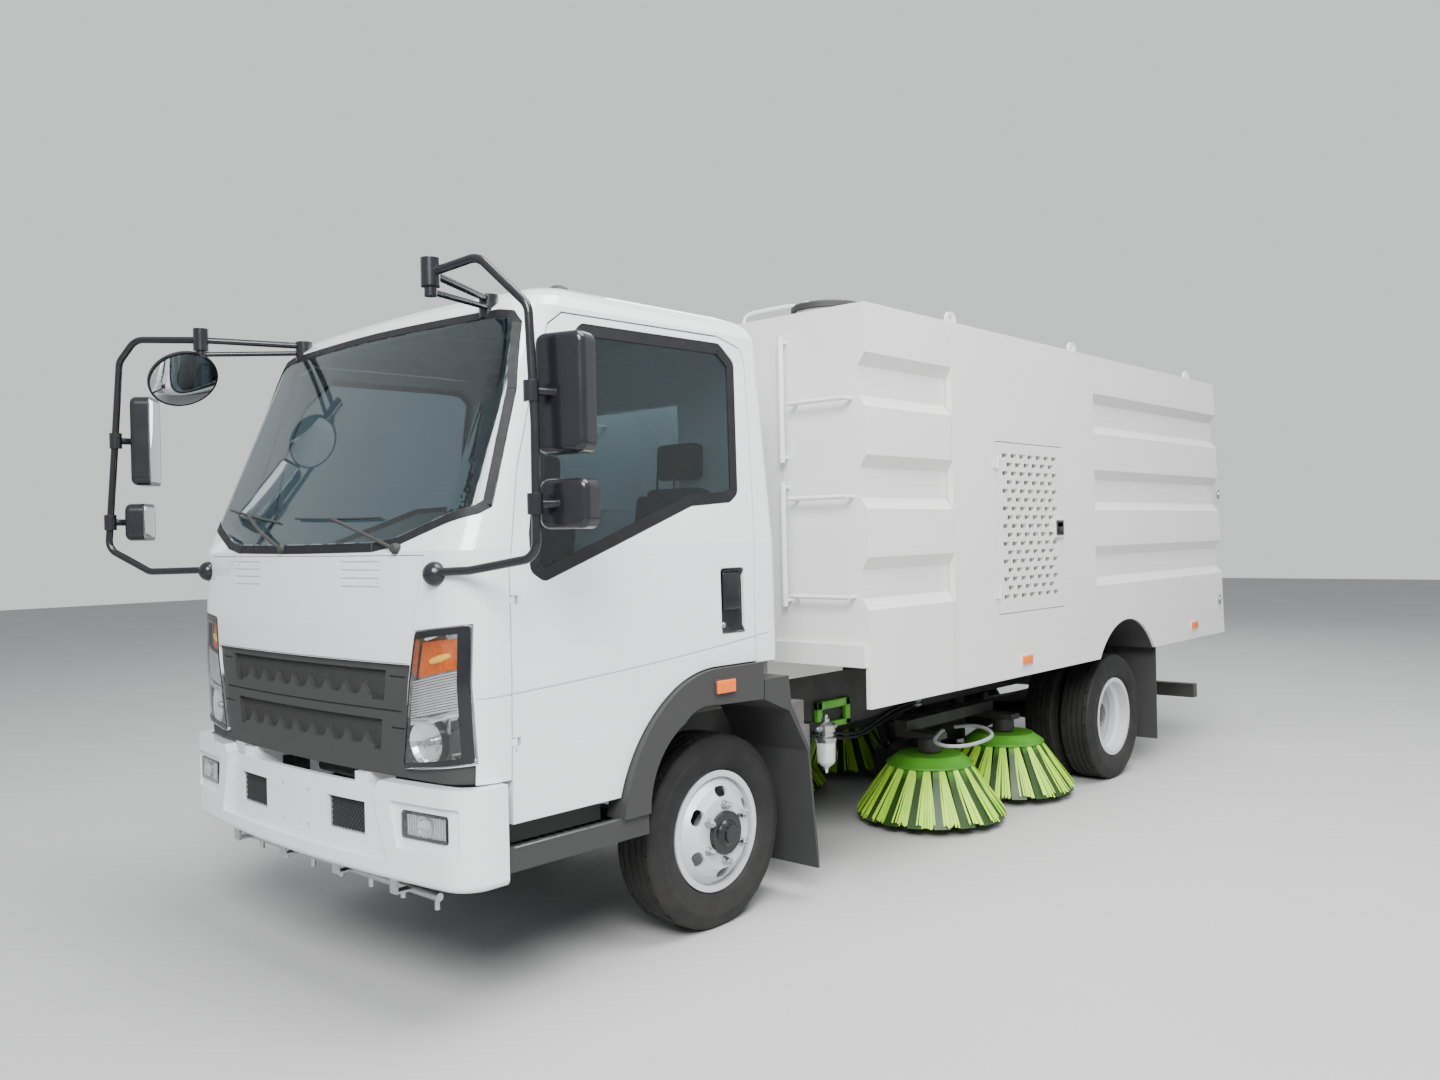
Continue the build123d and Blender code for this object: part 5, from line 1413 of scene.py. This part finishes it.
@dataclass
class Mirrors:
    """Reflecting glass in the mirror heads."""

    heads: tuple[tuple[Point, float, float], ...] = (
        ((1.0545, 1.2164, 2.002), 17.5, 0.372), ((1.0531, 1.2219, 1.662), 17.5, 0.156),
        ((1.3653, -1.1471, 2.002), -37.0, 0.372), ((1.3832, -1.1744, 1.662), -37.0, 0.156))
    half_width: float = 0.074
    rim: float = 0.014

    def build(self) -> None:
        """Four flat glasses and the round one."""
        for index, (centre, turn, height) in enumerate(self.heads):
            half = height / 2 - self.rim
            glass = Bench.block(f"mirror_glass_{index}", (-0.0405, -self.half_width, -half),
                                (-0.0365, self.half_width, half))
            Bench.modify(glass, "BEVEL", width=0.018, segments=4, limit_method="ANGLE", angle_limit=1.0,
                         affect="EDGES")
            glass.data.transform(Matrix.Translation(spot(*centre)) @ Matrix.Rotation(math.radians(turn), 4, "Z"))
            place(Bench.smooth(glass), "cab", MIRROR)
        blind = Bench.turned_part("mirror_glass_round", (
            (0.128, 0.004), (0.128, 0.008), (0.090, 0.015), (0.045, 0.019), (0.0, 0.020)),
            spot(1.306, -0.900, 2.249), (0.05, 0.82, -0.77), 48)
        place(blind, "cab", MIRROR)


@dataclass
class CabSides:
    """Door handles and step treads."""

    nodes: dict[str, Piece]
    treads: int = 13
    tread_pitch: float = 0.038
    tread_size: tuple[float, float] = (0.014, 0.080)
    tread_z: tuple[float, float] = (0.519, 0.528)

    def on_door(self, name: str, low: tuple[float, float], high: tuple[float, float], thick: float, lift: float,
                pitch: float) -> Piece:
        """Press a rectangle of the side view onto the left door.

        Args:
            name: Name of the piece.
            low: Its lowest x from the front axle, and its lowest z.
            high: Its highest x and z.
            thick: Thickness outwards.
            lift: Distance of its back from the door.
            pitch: Spacing of the cuts that let it bend.

        Returns:
            The piece.
        """
        (x0, z0), (x1, z1) = low, high
        corners = ((x0 + SHIFT, z0), (x1 + SHIFT, z0), (x1 + SHIFT, z1), (x0 + SHIFT, z1))
        return Bench.drape(name, corners, self.nodes["door_left"], View.LEFT, thick, lift, pitch)

    def build(self) -> None:
        """Handles and treads of both sides."""
        cup = self.on_door("handle_cup_left", (-0.085, 1.173), (0.045, 1.425), 0.008, 0.0, 0.03)
        Bench.inset(cup, lambda c, n: n.y > 0.7, 0.006, -0.004)
        pair(Bench.soften(cup, 0.001, 1), "door_left", GLOSS_BLACK)
        flap = self.on_door("handle_flap_left", (-0.070, 1.262), (0.030, 1.412), 0.011, 0.005, 0.05)
        Bench.taper(flap, lambda c, n: n.y > 0.7, (0.93, 1, 0.93), spot(-0.02, 0.93, 1.337))
        pair(Bench.soften(flap, 0.004, 3), "door_left", GLOSS_BLACK)
        lock = Bench.turned_part("handle_lock_left", (
            (0.011, 0.0), (0.011, 0.008), (0.009, 0.010), (0.004, 0.010), (0.0, 0.008)),
            spot(0.022, 0.9185, 1.205), (0, 1, 0), 20)
        pair(lock, "door_left", STEEL)
        bars = []
        for index in range(self.treads):
            for start, y in ((0.545, 0.735), (0.564, 0.820)):
                x = start + index * self.tread_pitch
                long, wide = self.tread_size
                low, high = self.tread_z
                bars.append(Bench.block(f"tread_{len(bars)}", spot(x, y, low), spot(x + long, y + wide, high)))
        pair(Bench.soften(Bench.join("step_tread_left", bars), 0.003), "cab", PLASTIC)
        edge = Bench.block("step_edge_left", spot(0.500, 0.928, 0.5595), spot(1.070, 0.941, 0.5635), 0.0015)
        pair(edge, "cab", STEEL)


@dataclass
class Seats:
    """Two padded seats with bolsters, wings and headrests."""

    places: tuple[float, float] = (0.470, -0.470)
    lean: dict[str, tuple[float, float]] = field(default_factory=lambda: {
        "back": (-0.075, -99.2), "head": (-0.172, -93.0)})
    fill: float = 0.8

    def cushion(self, name: str, low: Point, high: Point, crown: float, round_off: float) -> Piece:
        """A crowned pad with rounded sides.

        Args:
            name: Name of the pad.
            low: Lowest corner.
            high: Highest corner.
            crown: How far the middle swells.
            round_off: Radius of its edges.

        Returns:
            The pad.
        """
        pad = Bench.block(name, low, high)
        Bench.modify(pad, "BEVEL", width=round_off, segments=3, limit_method="ANGLE", angle_limit=0.6)
        Bench.pick_faces(pad, lambda c, n: True)
        bpy.ops.mesh.subdivide(number_cuts=5)
        bpy.ops.object.mode_set(mode="OBJECT")
        middle = Vector([(a + b) / 2 for a, b in zip(low, high)])
        half = Vector([(b - a) / 2 for a, b in zip(low, high)])
        for vertex in pad.data.vertices:
            share = [abs(vertex.co[k] - middle[k]) / half[k] for k in range(3)]
            swell = crown * max(0.0, 1 - share[0] ** 2) * max(0.0, 1 - share[1] ** 2)
            vertex.co.z += swell if vertex.co.z > middle.z else 0.0
            waist = crown * 0.35 * max(0.0, 1 - share[2] ** 2) * share[1]
            vertex.co.y -= math.copysign(waist, vertex.co.y - middle.y)
        return Bench.smooth(pad, 60.0)

    def pads(self, word: str, y: float) -> list[Piece]:
        """The pads of one seat, each in its place in the cab.

        Args:
            word: The seat's side.
            y: Its middle.

        Returns:
            The pads, measured from the front axle.
        """
        made = [self.cushion(f"seat_base_{word}", (-0.075, y - 0.175, 1.105), (0.415, y + 0.175, 1.212), 0.012, 0.03)]
        upright = [("back", f"seat_back_{word}", y - 0.160, y + 0.160, 1.235, 0.537, 0.100, 0.010, 0.026),
                   ("head", f"seat_head_{word}", y - 0.115, y + 0.115, 1.800, 0.155, 0.080, 0.010, 0.026)]
        for edge in (-1, 1):
            inner, outer = sorted((y + edge * 0.178, y + edge * 0.236))
            made.append(self.cushion(f"seat_bolster_{word}_{edge + 1}", (-0.07, inner, 1.105), (0.405, outer, 1.222),
                                     0.006, 0.024))
            inner, outer = sorted((y + edge * 0.163, y + edge * 0.217))
            upright.append(("back", f"seat_wing_{word}_{edge + 1}", inner, outer, 1.245, 0.500, 0.118, 0.006, 0.022))
        for kind, name, inner, outer, foot, length, depth, crown, round_off in upright:
            pad = self.cushion(name, (0.0, inner, 0.0), (length, outer, depth), crown, round_off)
            x, tilt = self.lean[kind]
            pad.data.transform(Matrix.Translation((x, 0, foot)) @ Matrix.Rotation(math.radians(tilt), 4, "Y"))
            made.append(pad)
        return made

    def build(self) -> None:
        """Make both seats from one set of pads."""
        for y in self.places:
            word = "left" if y > 0 else "right"
            for pad in self.pads(word, y):
                pad.data.transform(Matrix.Translation((SHIFT, 0, 0)))
                place(pad, "cab", SEAT)
                if pad.name == "seat_base_left":
                    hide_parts("seats")
            posts = [Bench.hose(f"post_{k}", [spot(-0.125, y + k * 0.05, 1.74), spot(-0.130, y + k * 0.05, 1.82)],
                                0.006, 3) for k in (-1, 1)]
            name = f"seat_frame_{word}"
            base = Bench.block(name, spot(-0.05, y - 0.18, 1.088), spot(0.38, y + 0.18, 1.106), 0.004)
            place(Bench.join(name, [base, *posts]), "cab", TRIM)


@dataclass
class Body:
    """Arch liners, hatch latches, lid strap and rim, roof hoop and rear clamps."""

    arch_cut: float = 0.772
    clamps: tuple[float, float] = (1.02, 1.78)

    def liner(self) -> None:
        """Black half-round liners inside the rear wheel arches."""
        shell = Bench.turned_part("arch_liner_left", (
            (0.5075, 0.0), (0.5075, 0.500), (0.5110, 0.500), (0.5110, 0.0), (0.5075, 0.0)),
            spot(-3.615, 0.515, 0.475), (0, 1, 0), 96, 0.0)
        Bench.pick_faces(shell, lambda c, n: True)
        bpy.ops.mesh.bisect(plane_co=(0, 0, self.arch_cut), plane_no=(0, 0, 1), use_fill=True, clear_inner=True)
        Bench.outwards()
        bpy.ops.object.mode_set(mode="OBJECT")
        pair(Bench.smooth(shell), "hopper", PLASTIC)

    def build(self) -> None:
        """Make the body's fittings."""
        self.liner()
        latch = Bench.block("hatch_latch_left", spot(-2.714, 1.0415, 1.520), spot(-2.628, 1.0475, 1.602), 0.004, 3)
        Bench.inset(latch, lambda c, n: n.y > 0.9, 0.010, -0.0035)
        pair(latch, "engine_door_left", PLASTIC)
        lever = Bench.block("hatch_lever_left", spot(-2.700, 1.0435, 1.536), spot(-2.642, 1.052, 1.566), 0.004, 3)
        pair(lever, "engine_door_left", GLOSS_BLACK)
        strap = Bench.block("lid_strap", spot(-1.165, 0.684, 2.617), spot(-0.835, 0.716, 2.6225), 0.002)
        place(strap, "tank_lid", CAB_WHITE)
        rail = Bench.hose("roof_rail", [spot(-0.865, y, z) for y, z in (
            (0.30, 2.566), (0.30, 2.600), (0.33, 2.622), (0.45, 2.624), (0.62, 2.622), (0.64, 2.600),
            (0.64, 2.566))], 0.008)
        place(rail, "chassis", CAB_WHITE)
        rim = Bench.turned_part("lid_rim", (
            (0.1655, 0.0), (0.1695, 0.0), (0.1695, 0.022), (0.166, 0.026), (0.150, 0.027), (0.150, 0.0245),
            (0.1655, 0.0245), (0.1655, 0.0)), spot(-1.0, 0.7, 2.5905), (0, 0, 1), 48)
        place(rim, "tank_lid", PLASTIC)
        for z in self.clamps:
            name = f"door_clamp_{int(z * 100)}_left"
            clamp = Bench.block(name, spot(-5.262, 1.0295, z - 0.035), spot(-5.215, 1.040, z + 0.035), 0.003)
            screw = Bench.turned_part("clamp_screw", (
                (0.013, 0.0), (0.013, 0.008), (0.010, 0.012), (0.0, 0.012)), spot(-5.2385, 1.038, z), (0, 1, 0), 6,
                0.0)
            pair(Bench.join(name, [clamp, screw]), "rear_door", STEEL)


@dataclass
class Pipework:
    """Water filter, hoses and fittings between the axles."""

    hose_radius: float = 0.0095
    base: Point = (-1.163, 0.520, 0.430)

    def build(self) -> None:
        """Make the pipework."""
        self.filter()
        self.valve()
        self.carrier()
        self.loop()
        for side in Side:
            self.lines(side)

    def fitting(self, name: str, centre: Point, way: Point) -> Piece:
        """A pressed hose end with a hexagon collar, at a point and along a direction."""
        return Bench.turned_part(name, (
            (0.0, -0.034), (0.012, -0.034), (0.0135, -0.030), (0.0135, -0.004), (0.012, 0.0), (0.012, 0.004),
            (0.016, 0.004), (0.016, 0.018), (0.010, 0.019), (0.010, 0.032), (0.0, 0.032)), centre, way, 12, 30.0)

    def filter(self) -> None:
        """Filter head and white bowl on a bracket at the frame's rail."""
        bowl = Bench.turned_part("filter_bowl", (
            (0.0, -0.052), (0.006, -0.050), (0.009, -0.030), (0.016, -0.022), (0.040, -0.004), (0.046, 0.010),
            (0.048, 0.110), (0.0, 0.110)), spot(*self.base), (0, 0, 1), 28)
        place(bowl, "chassis", OPTIC)
        collar = Bench.turned_part("filter_collar", (
            (0.046, 0.100), (0.053, 0.104), (0.053, 0.124), (0.046, 0.130), (0.040, 0.132), (0.040, 0.150),
            (0.048, 0.154), (0.048, 0.186), (0.034, 0.196), (0.020, 0.200), (0.020, 0.216), (0.012, 0.220),
            (0.012, 0.236), (0.0, 0.238)), spot(*self.base), (0, 0, 1), 28)
        nozzles = [self.fitting("inlet", spot(-1.215, 0.520, 0.602), (-1, 0, 0)),
                   self.fitting("outlet", spot(-1.111, 0.520, 0.602), (1, 0, 0))]
        place(Bench.join("filter_head", [collar, *nozzles]), "chassis", STEEL)
        arm = Bench.block("filter_bracket", spot(-1.188, 0.374, 0.585), spot(-1.138, 0.482, 0.617), 0.004)
        place(arm, "chassis", FRAME_BLACK)

    def valve(self) -> None:
        """Drain valve with its blue cap."""
        valve = Bench.turned_part("drain_valve", (
            (0.0, 0.0), (0.030, 0.0), (0.030, 0.050), (0.024, 0.056), (0.024, 0.080), (0.0, 0.082)),
            spot(-1.000, 0.374, 0.600), (0, 1, 0))
        place(valve, "chassis", STEEL)
        knob = Bench.turned_part("drain_knob", (
            (0.0, 0.0), (0.033, 0.0), (0.036, 0.006), (0.036, 0.034), (0.030, 0.040), (0.0, 0.040)),
            spot(-1.000, 0.456, 0.600), (0, 1, 0))
        place(knob, "chassis", BLUE)

    def carrier(self) -> None:
        """Green brush-lift carriers under the rails."""
        beams = [Bench.block(f"beam_{k}", spot(x0, 0.376, z0), spot(x1, 0.400, z1)) for k, (x0, z0, x1, z1) in
                 enumerate(((-1.540, 0.562, -1.500, 0.700), (-1.300, 0.562, -1.260, 0.700),
                            (-1.540, 0.660, -1.260, 0.700), (-1.540, 0.562, -1.260, 0.592)))]
        pair(Bench.soften(Bench.join("lift_carrier_left", beams), 0.003), "chassis", DISH)

    def loop(self) -> None:
        """Grey water loop over each front brush, riding with its arm and clear of it at both ends."""
        run = [spot(x, y, z) for x, y, z in (
            (-2.060, 0.640, 0.470), (-1.960, 0.700, 0.500), (-1.820, 0.740, 0.485), (-1.700, 0.800, 0.480),
            (-1.640, 0.900, 0.478), (-1.690, 0.985, 0.480), (-1.840, 1.005, 0.484), (-2.000, 0.975, 0.488),
            (-2.120, 0.880, 0.494), (-2.180, 0.760, 0.500), (-2.160, 0.650, 0.480))]
        pair(Bench.hose("water_loop_left", run, self.hose_radius), "brush_arm_left", HOSE_GREY)

    def lines(self, side: Side) -> None:
        """Two feed hoses with their fittings along the rail.

        Args:
            side: The side of the vehicle.
        """
        s = side.value
        for number, drop in enumerate((0.0, 0.026)):
            run = [spot(x, s * y, z) for x, y, z in (
                (-1.32, 0.402, 0.545 - drop), (-1.45, 0.412, 0.520 - drop), (-1.62, 0.405, 0.500 - drop * 0.6),
                (-1.80, 0.395, 0.545 - drop), (-1.98, 0.388, 0.585 - drop), (-2.20, 0.386, 0.600 - drop))]
            hose = Bench.hose(f"feed_hose_{side.word}_{number}", run, self.hose_radius)
            place(hose, "chassis", RUBBER)
            ends = [self.fitting("end_a", run[0], (-0.97, 0, -0.2)), self.fitting("end_b", run[-1], (0.99, 0, 0.05))]
            place(Bench.join(f"feed_ends_{side.word}_{number}", ends), "chassis", STEEL)


@dataclass
class Seals:
    """Rubber round the panes, taken from the panes' own faces."""

    nodes: dict[str, Piece]

    def build(self) -> None:
        """Windscreen border and door window rubbers."""
        pane = Bench.skin_of(self.nodes["cab_glass"], "windscreen_rubber", lambda c, n: n.x > 0.35 and c.x > 2.4)
        place(self.to_ring(pane, 0.030, 0.0022), "cab", RUBBER)
        for side in Side:
            pane = Bench.skin_of(self.nodes[f"door_glass_{side.word}"], f"window_rubber_{side.word}",
                                 lambda c, n, s=side.value: n.y * s > 0.7)
            place(self.to_ring(pane, 0.042, 0.0045), f"door_{side.word}", RUBBER)

    @staticmethod
    def to_ring(piece: Piece, width: float, thick: float) -> Piece:
        """Keep a border of a skin and give it thickness.

        Args:
            piece: The skin.
            width: Width of the border.
            thick: Thickness outwards.

        Returns:
            The same piece.
        """
        Bench.pick_faces(piece, lambda c, n: True)
        bpy.ops.mesh.inset(thickness=width, depth=0.0)
        bpy.ops.mesh.delete(type="FACE")
        bpy.ops.object.mode_set(mode="OBJECT")
        Bench.modify(piece, "SOLIDIFY", thickness=thick, offset=1.0)
        return Bench.smooth(piece, 40.0)


def main() -> dict[str, list[list[float]]]:
    """Dress the frame and add every sub-assembly.

    Returns:
        The CAD model's box, lowest and highest corner.
    """
    logging.basicConfig(level=logging.INFO, format="%(name)s: %(message)s")
    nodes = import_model()["nodes"]
    low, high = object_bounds()
    Studio().build()
    PaintShop(nodes).dress()
    for part in (Wheels(), Brushes(), Seals(nodes), Lamps(nodes), Front(), Mirrors(), CabSides(nodes), Seats(),
                 Body(), Pipework()):
        part.build()
    return {"cad": [list(low), list(high)]}


if __name__ == "__main__":
    sizes = main()
    lowest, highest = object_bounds()
    sizes["visual"] = [list(lowest), list(highest)]
